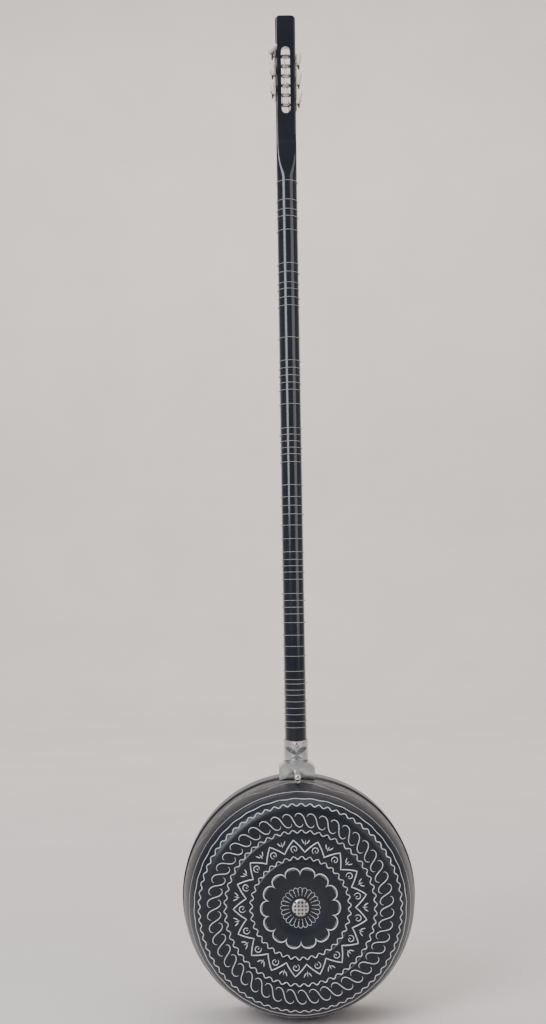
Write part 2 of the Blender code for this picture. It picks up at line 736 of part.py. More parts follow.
def make_roller(index):
    side = tuner_side(index)
    place = Matrix.Translation((0, ROLLER_Y, roller_height(index)))
    along_x = Matrix.Rotation(side * math.pi / 2, 4, "Y")
    drum = SLOT_HALF - SLIDE
    shaft = ROLLER_SHAFT_R
    end = GEAR_X + GEAR_THICK + GAP
    profile = [(0, end), (shaft, end), (shaft, drum), (ROLLER_R, drum), (ROLLER_R, -drum)]
    profile += [(shaft, -drum), (shaft, -ROLLER_FAR), (0, -ROLLER_FAR)]
    name = "string_roller_" + str(index + 1)
    roller = turned(name, profile, 12, place @ along_x, HEAD_FRAME, closed=False)
    finish(roller, "nickel")
    hole = arc((0, 0), shaft + GAP, 0, 330, 11)
    place = place @ Matrix.Translation((side * WORM_X, 0, 0)) @ SIDEWAYS
    gear = outline("worm_gear_" + str(index + 1), [gear_outline(), hole], GEAR_THICK, place, HEAD_FRAME)
    finish(gear, "bronze")


def worm_thread(name, matrix):
    """A right-handed ridge round the shaft, clear of the gear's tooth at the middle."""
    steps = 9
    count = int(steps * WORM_TURNS)
    foot, crest = 0.20 * WORM_PITCH, 0.09 * WORM_PITCH
    shape = ((WORM_ROOT_R - 0.0003, -foot), (WORM_TIP_R, -crest),
             (WORM_TIP_R, crest), (WORM_ROOT_R - 0.0003, foot))
    sections = []
    for i in range(count + 1):
        angle = 2 * math.pi * (i / steps - WORM_TURNS / 2)
        along = WORM_PITCH * angle / (2 * math.pi)
        ring = [(r * math.sin(angle), along + y, r * math.cos(angle)) for r, y in shape]
        sections.append(ring)
    return loft(name, sections, matrix, HEAD_FRAME)


def make_worm(index):
    side = tuner_side(index)
    place = Matrix.Translation((side * WORM_X, ROLLER_Y, roller_height(index) + WORM_GAP))
    inner = PLATE_HALF - EAR_THICK - SLIDE
    tip = PLATE_HALF + 0.0008
    collar = PLATE_HALF + SLIDE
    reach = BUTTON_REACH + BUTTON_LENGTH * 0.6
    profile = [(0, reach), (WORM_SHAFT_R, reach), (WORM_SHAFT_R, collar + 0.0042)]
    profile += [(WORM_ROOT_R, collar + 0.0034), (WORM_ROOT_R, collar), (WORM_SHAFT_R, collar)]
    profile += [(WORM_SHAFT_R, inner), (WORM_ROOT_R, inner), (WORM_ROOT_R, -inner)]
    profile += [(WORM_SHAFT_R, -inner), (WORM_SHAFT_R, -tip), (0, -tip)]
    backwards = place @ Matrix.Rotation(math.pi / 2, 4, "X")
    name = "worm_shaft_" + str(index + 1)
    shaft = as_mesh(turned(name, profile, 10, backwards, HEAD_FRAME, closed=False))
    join(shaft, worm_thread("thread_" + str(index + 1), place))
    finish(shaft, "bronze")
    make_button(index, place)


def make_button(index, place):
    """An oval paddle, thin at its edge, turned to its own rest angle."""
    bm = bmesh.new()
    bmesh.ops.create_cube(bm, size=1)
    size = Vector((BUTTON_THICK, BUTTON_LENGTH, BUTTON_WIDE)) * 1.18
    bmesh.ops.scale(bm, vec=size, verts=bm.verts)
    middle = Matrix.Translation((0, -BUTTON_REACH - BUTTON_LENGTH / 2, 0))
    turn = Matrix.Rotation(math.radians(BUTTON_TURNS[index]), 4, "Y")
    name = "tuner_button_" + str(index + 1)
    button = bmesh_object(name, bm, place @ turn @ middle, HEAD_FRAME)
    rounding = button.modifiers.new("round", "SUBSURF")
    rounding.levels = 2
    rounding.render_levels = 2
    bore_end = -BUTTON_REACH - BUTTON_LENGTH * 0.6 - GAP
    start, end = (0, -BUTTON_REACH + 0.004, 0), (0, bore_end, 0)
    bore = rod("bore_" + str(index + 1), start, end, WORM_SHAFT_R + GAP, 10, parent=HEAD_FRAME)
    bore.matrix_basis = place
    cut(button, bore)
    smooth(finish(button, "cream plastic"), 60)


def make_plate(side, name):
    own = [i for i in range(TUNERS) if tuner_side(i) == side]
    heights = [roller_height(i) for i in own]
    low, high = heights[0] - PLATE_END, heights[-1] + WORM_GAP + PLATE_END
    y_low, y_high = ROLLER_Y - PLATE_HALF, ROLLER_Y + PLATE_HALF
    sheet = [(y_low, low), (y_high, low), (y_high, high), (y_low, high)]
    loops = [sheet]
    for z in heights:
        loops.append(arc((ROLLER_Y, z), ROLLER_SHAFT_R + GAP, 0, 330, 11))
    middle = side * (PLATE_X + PLATE_THICK / 2)
    place = Matrix.Translation((middle, 0, 0)) @ SIDEWAYS
    plate = outline(name, loops, PLATE_THICK, place, HEAD_FRAME)
    ears, bores = [], []
    near, far = side * (PLATE_X + 0.0002), side * (WORM_X + EAR_HALF)
    for z in heights:
        worm_z = z + WORM_GAP
        for y in (y_low, y_high - EAR_THICK):
            start = (min(near, far), y, worm_z - EAR_HALF)
            end = (max(near, far), y + EAR_THICK, worm_z + EAR_HALF)
            ears.append(block("ear", start, end, HEAD_FRAME))
        start, end = (side * WORM_X, y_low - 0.001, worm_z), (side * WORM_X, y_high + 0.001, worm_z)
        bores.append(rod("bore", start, end, WORM_SHAFT_R + GAP, 10, parent=HEAD_FRAME))
    join(plate, fuse_meshes(name + "_ears", ears))
    cut(plate, fuse_meshes(name + "_bores", bores))
    finish(plate, "nickel")


# Heel: shoe on the pot, socket on the neck, pin and screws
def make_shoe():
    bottom_r = RIM_R + GAP
    reach = math.degrees(math.asin(SHOE_HALF / bottom_r))
    under = arc((0, CENTRE_Z), bottom_r, 90 + reach, 90 - reach, 8)
    side_top = RIM_TOP + SHOE_SIDE
    upper = [(SHOE_HALF, side_top), (SHOE_SHOULDER, SHOE_TOP)]
    upper += [(-SHOE_SHOULDER, SHOE_TOP), (-SHOE_HALF, side_top)]
    depth = SHOE_FRONT + BARREL_DEPTH + STEP + SLIDE
    place = Matrix.Translation((0, SHOE_FRONT - depth / 2, 0)) @ UPRIGHT
    shoe = outline("base_shoe", [under + upper], depth, place)

    rear_r = BOWL_R + GAP
    under = arc((0, CENTRE_Z), rear_r, 90 + reach, 90 - reach, 8)
    rear = -BARREL_DEPTH - STEP - SHOE_REAR_WALL / 2
    place = Matrix.Translation((0, rear, 0)) @ UPRIGHT
    join(shoe, outline("shoe_rear", [under + upper], SHOE_REAR_WALL, place))

    wide = TANG_HALF + SLIDE
    cavity_back = TANG_BACK - SLIDE - GAP
    low, high = (-wide, cavity_back, RIM_TOP - 0.004), (wide, 0.004, SHOE_TOP + 0.004)
    cut(shoe, block("shoe_cavity", low, high))
    reach = SHOE_HALF + 0.002
    pin = (-reach, HINGE_Y, HINGE_Z), (reach, HINGE_Y, HINGE_Z)
    cut(shoe, rod("shoe_pin_hole", *pin, PIN_R + GAP, 12))
    z = RIM_TOP + ADJUST_RISE
    cut(shoe, rod("shoe_adjust_hole", (0, -0.06, z), (0, -0.02, z), ADJUST_R + GAP, 12))
    holes = []
    for side in (-1, 1):
        x = side * SHOE_SCREW_X
        low = (x, SHOE_SCREW_Y, RIM_TOP - 0.006)
        high = (x, SHOE_SCREW_Y, RIM_TOP + 0.0075 + GAP)
        holes.append(rod("hole", low, high, SHOE_SCREW_R + GAP, 10))
    cut(shoe, fuse_meshes("shoe_screw_holes", holes))
    finish(shoe, "cast alloy")
    left = (-SHOE_HALF, HINGE_Y, HINGE_Z)
    right = (SHOE_HALF, HINGE_Y, HINGE_Z)
    finish(rod("hinge_pin", left, right, PIN_R, 12), "steel")


def make_backing():
    outer, inner = RIM_R - POT_WALL - GAP, RIM_R - POT_WALL - GAP - BACKING_THICK
    reach = math.degrees(math.asin(BACKING_HALF / outer))
    band = arc((0, CENTRE_Z), outer, 90 + reach, 90 - reach, 8)
    band += arc((0, CENTRE_Z), inner, 90 - reach, 90 + reach, 8)
    place = Matrix.Translation((0, BACKING_FRONT - BACKING_DEPTH / 2, 0)) @ UPRIGHT
    plate = outline("backing_plate", [band], BACKING_DEPTH, place)
    holes = []
    head_top = CENTRE_Z + math.sqrt(inner ** 2 - (SHOE_SCREW_X + 0.0036) ** 2) - GAP
    for side in (-1, 1):
        x, y = side * SHOE_SCREW_X, SHOE_SCREW_Y
        low, high = (x, y, RIM_TOP - 0.008), (x, y, RIM_TOP)
        holes.append(rod("hole", low, high, SHOE_SCREW_R + GAP, 10))
        tip = (x, y, RIM_TOP + 0.0075)
        name = "shoe_screw_left" if side < 0 else "shoe_screw_right"
        screw = rod(name, (x, y, head_top - 0.001), tip, SHOE_SCREW_R, 10)
        join(screw, rod(name + "_head", (x, y, head_top - 0.0024), (x, y, head_top), 0.0036, 10))
        finish(screw, "steel")
    cut(plate, fuse_meshes("backing_holes", holes))
    finish(plate, "steel")


def heel_screw_hole(name):
    z = NECK_BOTTOM + HEEL_SCREW_RISE
    start, end = (0, -0.05, z), (0, NECK_FRONT - 0.006, z)
    hole = rod(name, start, end, HEEL_SCREW_R + GAP, 13, parent=NECK_FRAME)
    hole.matrix_basis = FROM_HINGE
    return hole


def make_socket():
    grow = GAP + SOCKET_WALL
    front = NECK_FRONT - grow - GAP
    sections = [neck_section(z, grow, front=front) for z in (SOCKET_BOTTOM, SOCKET_TOP)]
    socket = loft("heel_socket", sections, FROM_HINGE, NECK_FRAME)
    tall = (NECK_BOTTOM - GAP, SOCKET_TOP + 0.01)
    open_front = NECK_FRONT + 0.01
    rings = [neck_section(z, GAP, front=open_front) for z in tall]
    pocket = loft("neck_pocket", rings, FROM_HINGE, NECK_FRAME)
    cut(socket, pocket)
    curve_r = 0.060
    z = SOCKET_TOP - SOCKET_HOLLOW + curve_r
    bow = rod("socket_hollow", (0, -0.06, z), (0, 0.03, z), curve_r, 64, parent=NECK_FRAME)
    bow.matrix_basis = FROM_HINGE
    cut(socket, bow)
    low = (-TANG_HALF, TANG_BACK, RIM_TOP + 0.0012)
    high = (TANG_HALF, TANG_FRONT, SOCKET_BOTTOM + SOCKET_FLOOR * 0.6)
    tang = block("tang", low, high, NECK_FRAME)
    tang.matrix_basis = FROM_HINGE
    join(socket, tang)
    pin = rod("tang_pin_hole", (-0.03, 0, 0), (0.03, 0, 0), PIN_R + GAP, 12, parent=NECK_FRAME)
    cut(socket, pin)
    cut(socket, heel_screw_hole("socket_screw_hole"))
    smooth(finish(socket, "cast alloy"), 35)


def make_heel_screw():
    z = NECK_BOTTOM + HEEL_SCREW_RISE
    back = neck_section(z, GAP + SOCKET_WALL)
    seat = min(y for _, y, _ in back) - GAP
    end = NECK_FRONT - 0.007
    profile = [(0, 0.0016), (0.0024, 0.0013), (HEEL_SCREW_HEAD_R, 0.0004), (HEEL_SCREW_HEAD_R, 0)]
    profile += [(HEEL_SCREW_R, 0), (HEEL_SCREW_R, seat - end), (0, seat - end)]
    place = FROM_HINGE @ Matrix.Translation((0, seat, z)) @ UPRIGHT
    finish(turned("heel_screw", profile, 16, place, NECK_FRAME, closed=False), "nickel")


def make_adjusting_screw():
    z = RIM_TOP + ADJUST_RISE
    tip = TANG_BACK - GAP
    rear = -BARREL_DEPTH - STEP - SHOE_REAR_WALL
    end = rear - ADJUST_REACH
    frame = body_frame("adjusting_axis", Matrix.Translation((0, 0, z)))
    hub = 0.0042
    profile = [(0, -end), (hub * 0.7, -end), (hub, -end - 0.001), (hub, -end - 0.007)]
    profile += [(ADJUST_R, -end - 0.009), (ADJUST_R, -tip), (0, -tip)]
    screw = as_mesh(turned("adjusting_screw", profile, 16, UPRIGHT, frame, closed=False))
    lobe = arc((0, WING_HALF - 0.0035), 0.0035, 0, 180, 6)
    lobe += [(-x, -y) for x, y in lobe]
    place = Matrix.Translation((0, end + 0.004, 0)) @ UPRIGHT
    join(screw, outline("wings", [lobe], 0.0022, place, frame))
    finish(screw, "nickel")


def make_tailpiece():
    seat = -RING_FACE + GAP
    half = TAIL_HALF
    waist = half * 0.62
    plate = [(-half, TAIL_LOW + 0.006), (-half + 0.004, TAIL_LOW), (half - 0.004, TAIL_LOW)]
    plate += [(half, TAIL_LOW + 0.006), (waist, 0.016), (waist, 0.022)]
    plate += [(half, TAIL_HIGH - TAIL_BAR), (half, TAIL_HIGH), (-half, TAIL_HIGH)]
    plate += [(-half, TAIL_HIGH - TAIL_BAR), (-waist, 0.022), (-waist, 0.016)]
    loops = [plate]
    for side in (-1, 1):
        loops.append(arc((side * TAIL_SCREW_X, TAIL_SCREW_Z), TAIL_SCREW_R + GAP, 0, 324, 9))
    place = Matrix.Translation((0, seat + TAIL_THICK / 2, 0)) @ UPRIGHT
    tail = outline("tailpiece", loops, TAIL_THICK, place)
    low = (-half, seat + TAIL_THICK / 2, TAIL_HIGH - TAIL_BAR)
    high = (half, seat + TAIL_THICK + TAIL_BAR, TAIL_HIGH)
    join(tail, block("tail_bar", low, high))
    tails = []
    for i, radius in enumerate(WIRE_RADII):
        x = bridge_x(i)
        start = (x, seat + TAIL_THICK + TAIL_BAR / 2, TAIL_HIGH - TAIL_BAR / 2)
        end = (x, STRING_BRIDGE_Y, BRIDGE_Z - BRIDGE_THICK / 2 - SLIDE)
        tails.append(rod("tail", start, end, radius, 6))
    join(tail, fuse_meshes("string_tails", tails))
    finish(tail, "nickel")
    top = seat + TAIL_THICK + GAP
    for side in (-1, 1):
        x = side * TAIL_SCREW_X
        name = "tailpiece_screw_left" if side < 0 else "tailpiece_screw_right"
        tip = (x, -RING_BACK, TAIL_SCREW_Z)
        screw = rod(name, tip, (x, top + 0.0005, TAIL_SCREW_Z), TAIL_SCREW_R, 8)
        start, end = (x, top, TAIL_SCREW_Z), (x, top + 0.0014, TAIL_SCREW_Z)
        join(screw, rod(name + "_head", start, end, 0.0030, 12, tip_radius=0.0022))
        finish(screw, "steel")


make_pot()
make_boss()
make_skin()
make_neck()
make_fingerboard()
make_nut()
make_bridge()
make_strings()
for tuner in range(TUNERS):
    make_roller(tuner)
    make_worm(tuner)
make_plate(-1, "tuner_plate_left")
make_plate(1, "tuner_plate_right")
make_shoe()
make_backing()
make_socket()
make_heel_screw()
make_adjusting_screw()
make_tailpiece()
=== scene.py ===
# %% [markdown]
# # A long-neck tanbur with a spun metal pot
#
# The tanbur is a plucked lute. Its round pot is spun from sheet metal and painted black, and
# bright ornament is cut through the paint. We see it from the back, as it stands.
# We load the measured parts first. They give every size, so nothing here is fitted by eye.

import json
import math

import bmesh
import bpy
from mathutils import Matrix, Vector


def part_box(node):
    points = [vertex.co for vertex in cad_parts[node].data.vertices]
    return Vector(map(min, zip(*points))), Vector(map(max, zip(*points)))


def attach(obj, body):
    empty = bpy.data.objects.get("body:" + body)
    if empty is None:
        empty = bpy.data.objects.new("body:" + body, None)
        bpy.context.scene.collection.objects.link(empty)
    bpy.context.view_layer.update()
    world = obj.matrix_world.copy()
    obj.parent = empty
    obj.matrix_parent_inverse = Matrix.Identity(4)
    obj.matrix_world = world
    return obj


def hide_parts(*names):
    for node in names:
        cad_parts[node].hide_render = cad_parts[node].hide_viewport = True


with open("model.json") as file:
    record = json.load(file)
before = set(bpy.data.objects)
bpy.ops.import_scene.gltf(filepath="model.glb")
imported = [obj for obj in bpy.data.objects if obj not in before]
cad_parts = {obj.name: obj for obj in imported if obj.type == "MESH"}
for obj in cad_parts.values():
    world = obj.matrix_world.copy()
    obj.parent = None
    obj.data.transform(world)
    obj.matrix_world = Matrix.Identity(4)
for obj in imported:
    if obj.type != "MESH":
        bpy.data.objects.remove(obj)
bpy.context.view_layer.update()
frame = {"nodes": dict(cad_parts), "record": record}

# %% [markdown]
# ## Camera
#
# The camera stands where the photographer stood: low, a little left, and looking slightly up.
# A camera matrix has the right, up and backward directions as its columns.

# %% Camera at the photographer's place
CAMERA_PLACE = Vector((-0.037, -1.681, 0.521))
PITCH, YAW, ROLL = math.radians(4.28), math.radians(0.38), math.radians(-0.86)

look = Vector((math.sin(YAW) * math.cos(PITCH), math.cos(YAW) * math.cos(PITCH), math.sin(PITCH)))
level = look.cross(Vector((0, 0, 1))).normalized()
upright = level.cross(look)
right = level * math.cos(ROLL) + upright * math.sin(ROLL)
up = upright * math.cos(ROLL) - level * math.sin(ROLL)

lens = bpy.data.cameras.new("camera")
lens.sensor_fit = "VERTICAL"
lens.sensor_height = 36
lens.lens = 44.09
camera = bpy.data.objects.new("camera", lens)
camera.matrix_world = Matrix.Translation(CAMERA_PLACE) @ Matrix((right, up, -look)).transposed().to_4x4()
bpy.context.scene.collection.objects.link(camera)
bpy.context.scene.camera = camera
print("lens:", lens.lens, "mm")

# %% [markdown]
# ## Small helpers
#
# Every piece is made the same way: a mesh is linked, given its material, and told which moving
# body carries it. Smooth shading up to an angle keeps real edges crisp.

# %% Link a piece
def add_piece(name, mesh, body, material, stands_for=(), angle=35):
    piece = bpy.data.objects.new(name, mesh)
    bpy.context.scene.collection.objects.link(piece)
    mesh.materials.clear()
    mesh.materials.append(material)
    mesh.shade_smooth()
    mesh.set_sharp_from_angle(angle=math.radians(angle))
    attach(piece, body)
    if stands_for:
        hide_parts(*stands_for)
    print(name, len(mesh.polygons), "faces")
    return piece


def mesh_of(bm, name):
    mesh = bpy.data.meshes.new(name)
    bm.to_mesh(mesh)
    bm.free()
    return mesh


def evaluated_mesh(obj):
    """The mesh that a curve or a piece with modifiers shows. The object itself goes."""
    bpy.context.view_layer.update()
    mesh = bpy.data.meshes.new_from_object(obj.evaluated_get(bpy.context.evaluated_depsgraph_get()))
    bpy.data.objects.remove(obj, do_unlink=True)
    return mesh


# %% Draw strokes and wires as curves
def stroke_mesh(name, paths, radius, sides=1, cyclic=False, taper=0.0):
    """Round bars along paths of points. With taper, both ends of each bar grow thin."""
    curve = bpy.data.curves.new(name, "CURVE")
    curve.dimensions = "3D"
    curve.bevel_depth = radius
    curve.bevel_resolution = sides
    curve.use_fill_caps = True
    for path in paths:
        spline = curve.splines.new("POLY")
        spline.points.add(len(path) - 1)
        spline.use_cyclic_u = cyclic
        last = len(path) - 1
        for i, (point, place) in enumerate(zip(spline.points, path)):
            point.co = (*place, 1)
            point.radius = 1 - taper * abs(2 * i / last - 1) ** 3
    carrier = bpy.data.objects.new(name, curve)
    bpy.context.scene.collection.objects.link(carrier)
    return evaluated_mesh(carrier)


# %% [markdown]
# ## Finishes
#
# Real surfaces are never one colour. One shared node group mixes two colours with a soft noise,
# varies the roughness and adds a fine bump. Each finish sets its own values.

# %% The shared surface group
def make_surface_group():
    group = bpy.data.node_groups.new("fine surface", "ShaderNodeTree")
    sockets = (
        ("Vector", "NodeSocketVector", "INPUT"), ("Colour", "NodeSocketColor", "INPUT"),
        ("Second Colour", "NodeSocketColor", "INPUT"), ("Scale", "NodeSocketFloat", "INPUT"),
        ("Roughness Low", "NodeSocketFloat", "INPUT"), ("Roughness High", "NodeSocketFloat", "INPUT"),
        ("Bump", "NodeSocketFloat", "INPUT"), ("Colour", "NodeSocketColor", "OUTPUT"),
        ("Roughness", "NodeSocketFloat", "OUTPUT"), ("Normal", "NodeSocketVector", "OUTPUT"))
    for name, kind, side in sockets:
        group.interface.new_socket(name=name, in_out=side, socket_type=kind)
    nodes, link = group.nodes, group.links.new
    given, made = nodes.new("NodeGroupInput"), nodes.new("NodeGroupOutput")
    broad, fine = nodes.new("ShaderNodeTexNoise"), nodes.new("ShaderNodeTexNoise")
    broad.inputs["Detail"].default_value = 5
    fine.inputs["Detail"].default_value = 3
    finer = nodes.new("ShaderNodeMath")
    finer.operation = "MULTIPLY"
    finer.inputs[1].default_value = 9
    link(given.outputs["Scale"], finer.inputs[0])
    link(given.outputs["Scale"], broad.inputs["Scale"])
    link(finer.outputs[0], fine.inputs["Scale"])
    for noise in (broad, fine):
        link(given.outputs["Vector"], noise.inputs["Vector"])
    spread = nodes.new("ShaderNodeMapRange")
    spread.inputs["From Min"].default_value = 0.35
    spread.inputs["From Max"].default_value = 0.7
    link(broad.outputs["Fac"], spread.inputs["Value"])
    mix = nodes.new("ShaderNodeMix")
    mix.data_type = "RGBA"
    link(spread.outputs["Result"], mix.inputs["Factor"])
    link(given.outputs["Colour"], mix.inputs["A"])
    link(given.outputs["Second Colour"], mix.inputs["B"])
    rough = nodes.new("ShaderNodeMapRange")
    link(broad.outputs["Fac"], rough.inputs["Value"])
    link(given.outputs["Roughness Low"], rough.inputs["To Min"])
    link(given.outputs["Roughness High"], rough.inputs["To Max"])
    bump = nodes.new("ShaderNodeBump")
    bump.inputs["Distance"].default_value = 0.0004
    link(fine.outputs["Fac"], bump.inputs["Height"])
    link(given.outputs["Bump"], bump.inputs["Strength"])
    link(mix.outputs["Result"], made.inputs["Colour"])
    link(rough.outputs["Result"], made.inputs["Roughness"])
    link(bump.outputs["Normal"], made.inputs["Normal"])
    return group


SURFACE = make_surface_group()
print("group sockets:", len(SURFACE.interface.items_tree))


# %% A finish made from the group
def finish(name, colours, scale, rough, bump, metallic=0.0, coat=0.0, stretch=(1, 1, 1)):
    material = bpy.data.materials.new(name)
    material.use_nodes = True
    nodes, link = material.node_tree.nodes, material.node_tree.links.new
    shader = nodes["Principled BSDF"]
    shader.inputs["Metallic"].default_value = metallic
    shader.inputs["Coat Weight"].default_value = coat
    shader.inputs["Coat Roughness"].default_value = 0.08
    place, mapping = nodes.new("ShaderNodeTexCoord"), nodes.new("ShaderNodeMapping")
    mapping.inputs["Scale"].default_value = stretch
    surface = nodes.new("ShaderNodeGroup")
    surface.node_tree = SURFACE
    link(place.outputs["Object"], mapping.inputs["Vector"])
    link(mapping.outputs["Vector"], surface.inputs["Vector"])
    surface.inputs["Colour"].default_value = (*colours[0], 1)
    surface.inputs["Second Colour"].default_value = (*colours[1], 1)
    surface.inputs["Scale"].default_value = scale
    surface.inputs["Roughness Low"].default_value = rough[0]
    surface.inputs["Roughness High"].default_value = rough[1]
    surface.inputs["Bump"].default_value = bump
    link(surface.outputs["Colour"], shader.inputs["Base Color"])
    link(surface.outputs["Roughness"], shader.inputs["Roughness"])
    link(surface.outputs["Normal"], shader.inputs["Normal"])
    return material


# %% Metals
CAST = finish("polished casting", ((0.68, 0.67, 0.65), (0.46, 0.45, 0.44)), 70, (0.2, 0.4), 0.28, 1)
# Painted shade: this dark finish stands in for the shade inside the boss's pits, the leaf veins and the
# screw's turned grooves.
RECESS_SHADE = finish("painted recess shade", ((0.06, 0.06, 0.06), (0.12, 0.11, 0.1)), 200, (0.4, 0.6), 0.4, 1)
NICKEL = finish("nickel plate", ((0.66, 0.65, 0.62), (0.5, 0.49, 0.46)), 60, (0.16, 0.34), 0.15, 1)
BRONZE = finish("oiled bronze", ((0.10, 0.075, 0.05), (0.2, 0.15, 0.1)), 250, (0.3, 0.5), 0.4, 1)
WIRE = finish("plain steel wire", ((0.6, 0.6, 0.62), (0.5, 0.5, 0.5)), 80, (0.2, 0.3), 0.1, 1)
LINE = finish("cut line", ((0.85, 0.86, 0.86), (0.6, 0.61, 0.62)), 120, (0.3, 0.5), 0.3, 0.25)
SIDE_LINE = finish("worn cut line", ((0.33, 0.31, 0.28), (0.2, 0.19, 0.18)), 90, (0.35, 0.55), 0.3, 0.35)

# %% Lacquer, plastics, skin and wood
LACQUER = finish("gloss lacquer", ((0.004, 0.006, 0.011), (0.008, 0.009, 0.014)), 30, (0.12, 0.24), 0.04,
                 coat=0.35)
CREAM = finish("cream plastic", ((0.9, 0.8, 0.7), (0.84, 0.73, 0.62)), 120, (0.22, 0.35), 0.1, coat=0.3)
NYLON = finish("fret line", ((0.42, 0.42, 0.40), (0.28, 0.28, 0.27)), 400, (0.3, 0.45), 0.3)
BONE = finish("bone", ((0.78, 0.73, 0.62), (0.7, 0.63, 0.5)), 150, (0.3, 0.5), 0.2)
SKIN = finish("drum skin", ((0.82, 0.78, 0.68), (0.74, 0.68, 0.56)), 22, (0.4, 0.6), 0.25)
DARK_WOOD = finish("dark hardwood", ((0.035, 0.022, 0.015), (0.07, 0.042, 0.025)), 60, (0.35, 0.5), 0.4,
                   stretch=(4, 4, 0.25))
MAPLE = finish("maple", ((0.5, 0.34, 0.19), (0.38, 0.23, 0.11)), 120, (0.4, 0.55), 0.3,
               stretch=(0.3, 3, 3))
print("finishes:", len(bpy.data.materials))


# %% [markdown]
# The pot's paint shows fine rings, left by the spinning tool under the paint. A wave texture
# in rings about the pot's own axis makes them, and a second bump lays them over the first.

# %% Pot paint with spun rings
def add_spun_rings(material, centre, height):
    nodes, link = material.node_tree.nodes, material.node_tree.links.new
    shader = nodes["Principled BSDF"]
    under = shader.inputs["Normal"].links[0].from_socket
    place, shift = nodes.new("ShaderNodeTexCoord"), nodes.new("ShaderNodeMapping")
    shift.inputs["Location"].default_value = -Vector(centre)
    rings = nodes.new("ShaderNodeTexWave")
    rings.wave_type = "RINGS"
    rings.rings_direction = "Y"
    rings.inputs["Scale"].default_value = 150
    rings.inputs["Distortion"].default_value = 0.6
    bump = nodes.new("ShaderNodeBump")
    bump.inputs["Strength"].default_value = height
    bump.inputs["Distance"].default_value = 0.0002
    link(place.outputs["Object"], shift.inputs["Vector"])
    link(shift.outputs["Vector"], rings.inputs["Vector"])
    link(rings.outputs["Fac"], bump.inputs["Height"])
    link(under, bump.inputs["Normal"])
    link(bump.outputs["Normal"], shader.inputs["Normal"])


POT_CENTRE = Vector((0, 0, 0.150))
PAINT = finish("pot paint", ((0.003, 0.005, 0.010), (0.007, 0.009, 0.016)), 14, (0.28, 0.42), 0.1, coat=0.08)
PAINT.node_tree.nodes["Principled BSDF"].inputs["Specular IOR Level"].default_value = 0.42
add_spun_rings(PAINT, POT_CENTRE, 0.25)
print("paint nodes:", len(PAINT.node_tree.nodes))

# %% [markdown]
# ## The pot
#
# Spinning metal over a form is a lathe's work, so the pot is one profile turned about its axis.
# The profile runs from the dished middle over two pressed grooves and the round shoulder to the
# straight barrel that holds the skin. A length along the profile later places each ornament.

# %% The pot's profile, as radius and depth behind the rim
RIM_R, BOWL_R, FLAT_R = 0.150, 0.148, 0.1145
BACK_DEPTH, STEP_DEPTH, RIM_FRONT, WALL = 0.108, 0.032, 0.006, 0.0015
DISH_R, DISH_FLAT_R, DISH_SINK = 0.0365, 0.014, 0.0045
GROOVES, GROOVE_HALF, GROOVE_SINK = (0.0605, 0.0925), 0.0042, 0.0015


def back_depth(radius):
    """How deep the pressed back lies at a radius: dish, grooves and flat."""
    sink = 0
    if radius < DISH_R:
        share = max(0, (radius - DISH_FLAT_R) / (DISH_R - DISH_FLAT_R))
        sink = DISH_SINK * (1 + math.cos(math.pi * share)) / 2
    for groove in GROOVES:
        if abs(radius - groove) < GROOVE_HALF:
            sink = GROOVE_SINK * (1 + math.cos(math.pi * (radius - groove) / GROOVE_HALF)) / 2
    return BACK_DEPTH - sink


profile = [(FLAT_R * i / 115, back_depth(FLAT_R * i / 115)) for i in range(1, 116)]
for i in range(1, 31):
    turn = math.pi / 2 * i / 30
    reach = FLAT_R + (BOWL_R - FLAT_R) * math.sin(turn)
    profile.append((reach, STEP_DEPTH + (BACK_DEPTH - STEP_DEPTH) * math.cos(turn)))
profile += [(RIM_R - 0.0006, STEP_DEPTH - 0.0012), (RIM_R, STEP_DEPTH - 0.0022)]
profile += [(RIM_R, depth) for depth in (0.02, 0.01, 0, -RIM_FRONT + 0.0004)]
profile.append((RIM_R - 0.0004, -RIM_FRONT))
print("profile points:", len(profile))


# %% Places on the pot
lengths = [0.0]
for (r0, d0), (r1, d1) in zip(profile, profile[1:]):
    lengths.append(lengths[-1] + math.hypot(r1 - r0, d1 - d0))


def length_at(radius, depth=None):
    """The length along the profile where it passes a radius, or a depth on the side."""
    for length, (r, d) in zip(lengths, profile):
        if (depth is None and r >= radius) or (depth is not None and r > FLAT_R and d <= depth):
            return length
    return lengths[-1]


def on_profile(length):
    """Radius, depth and the outward normal at a length along the profile."""
    for i in range(1, len(lengths)):
        if lengths[i] >= length:
            break
    share = (length - lengths[i - 1]) / (lengths[i] - lengths[i - 1])
    (r0, d0), (r1, d1) = profile[i - 1], profile[i]
    along = Vector((r1 - r0, d1 - d0)).normalized()
    return r0 + (r1 - r0) * share, d0 + (d1 - d0) * share, Vector((-along.y, along.x))


def on_pot(length, angle, lift):
    r, d, normal = on_profile(length)
    r, d = r + normal.x * lift, d + normal.y * lift
    return POT_CENTRE + Vector((r * math.cos(angle), -d, r * math.sin(angle)))


print("profile length:", round(lengths[-1], 3), "m")


# %% Turn the profile
def turned_mesh(name, points, steps, closed=False):
    """Spin points of (radius, depth) about the pot's axis, which runs along Y."""
    bm = bmesh.new()
    row = [bm.verts.new(POT_CENTRE + Vector((r, -d, 0))) for r, d in points]
    pairs = list(zip(row, row[1:]))
    if closed:
        pairs.append((row[-1], row[0]))
    edges = [bm.edges.new(pair) for pair in pairs]
    bmesh.ops.spin(bm, geom=row + edges, cent=POT_CENTRE, axis=(0, 1, 0), angle=2 * math.pi,
                   steps=steps, use_merge=True)
    bmesh.ops.remove_doubles(bm, verts=bm.verts, dist=1e-6)
    bmesh.ops.recalc_face_normals(bm, faces=bm.faces)
    return mesh_of(bm, name)


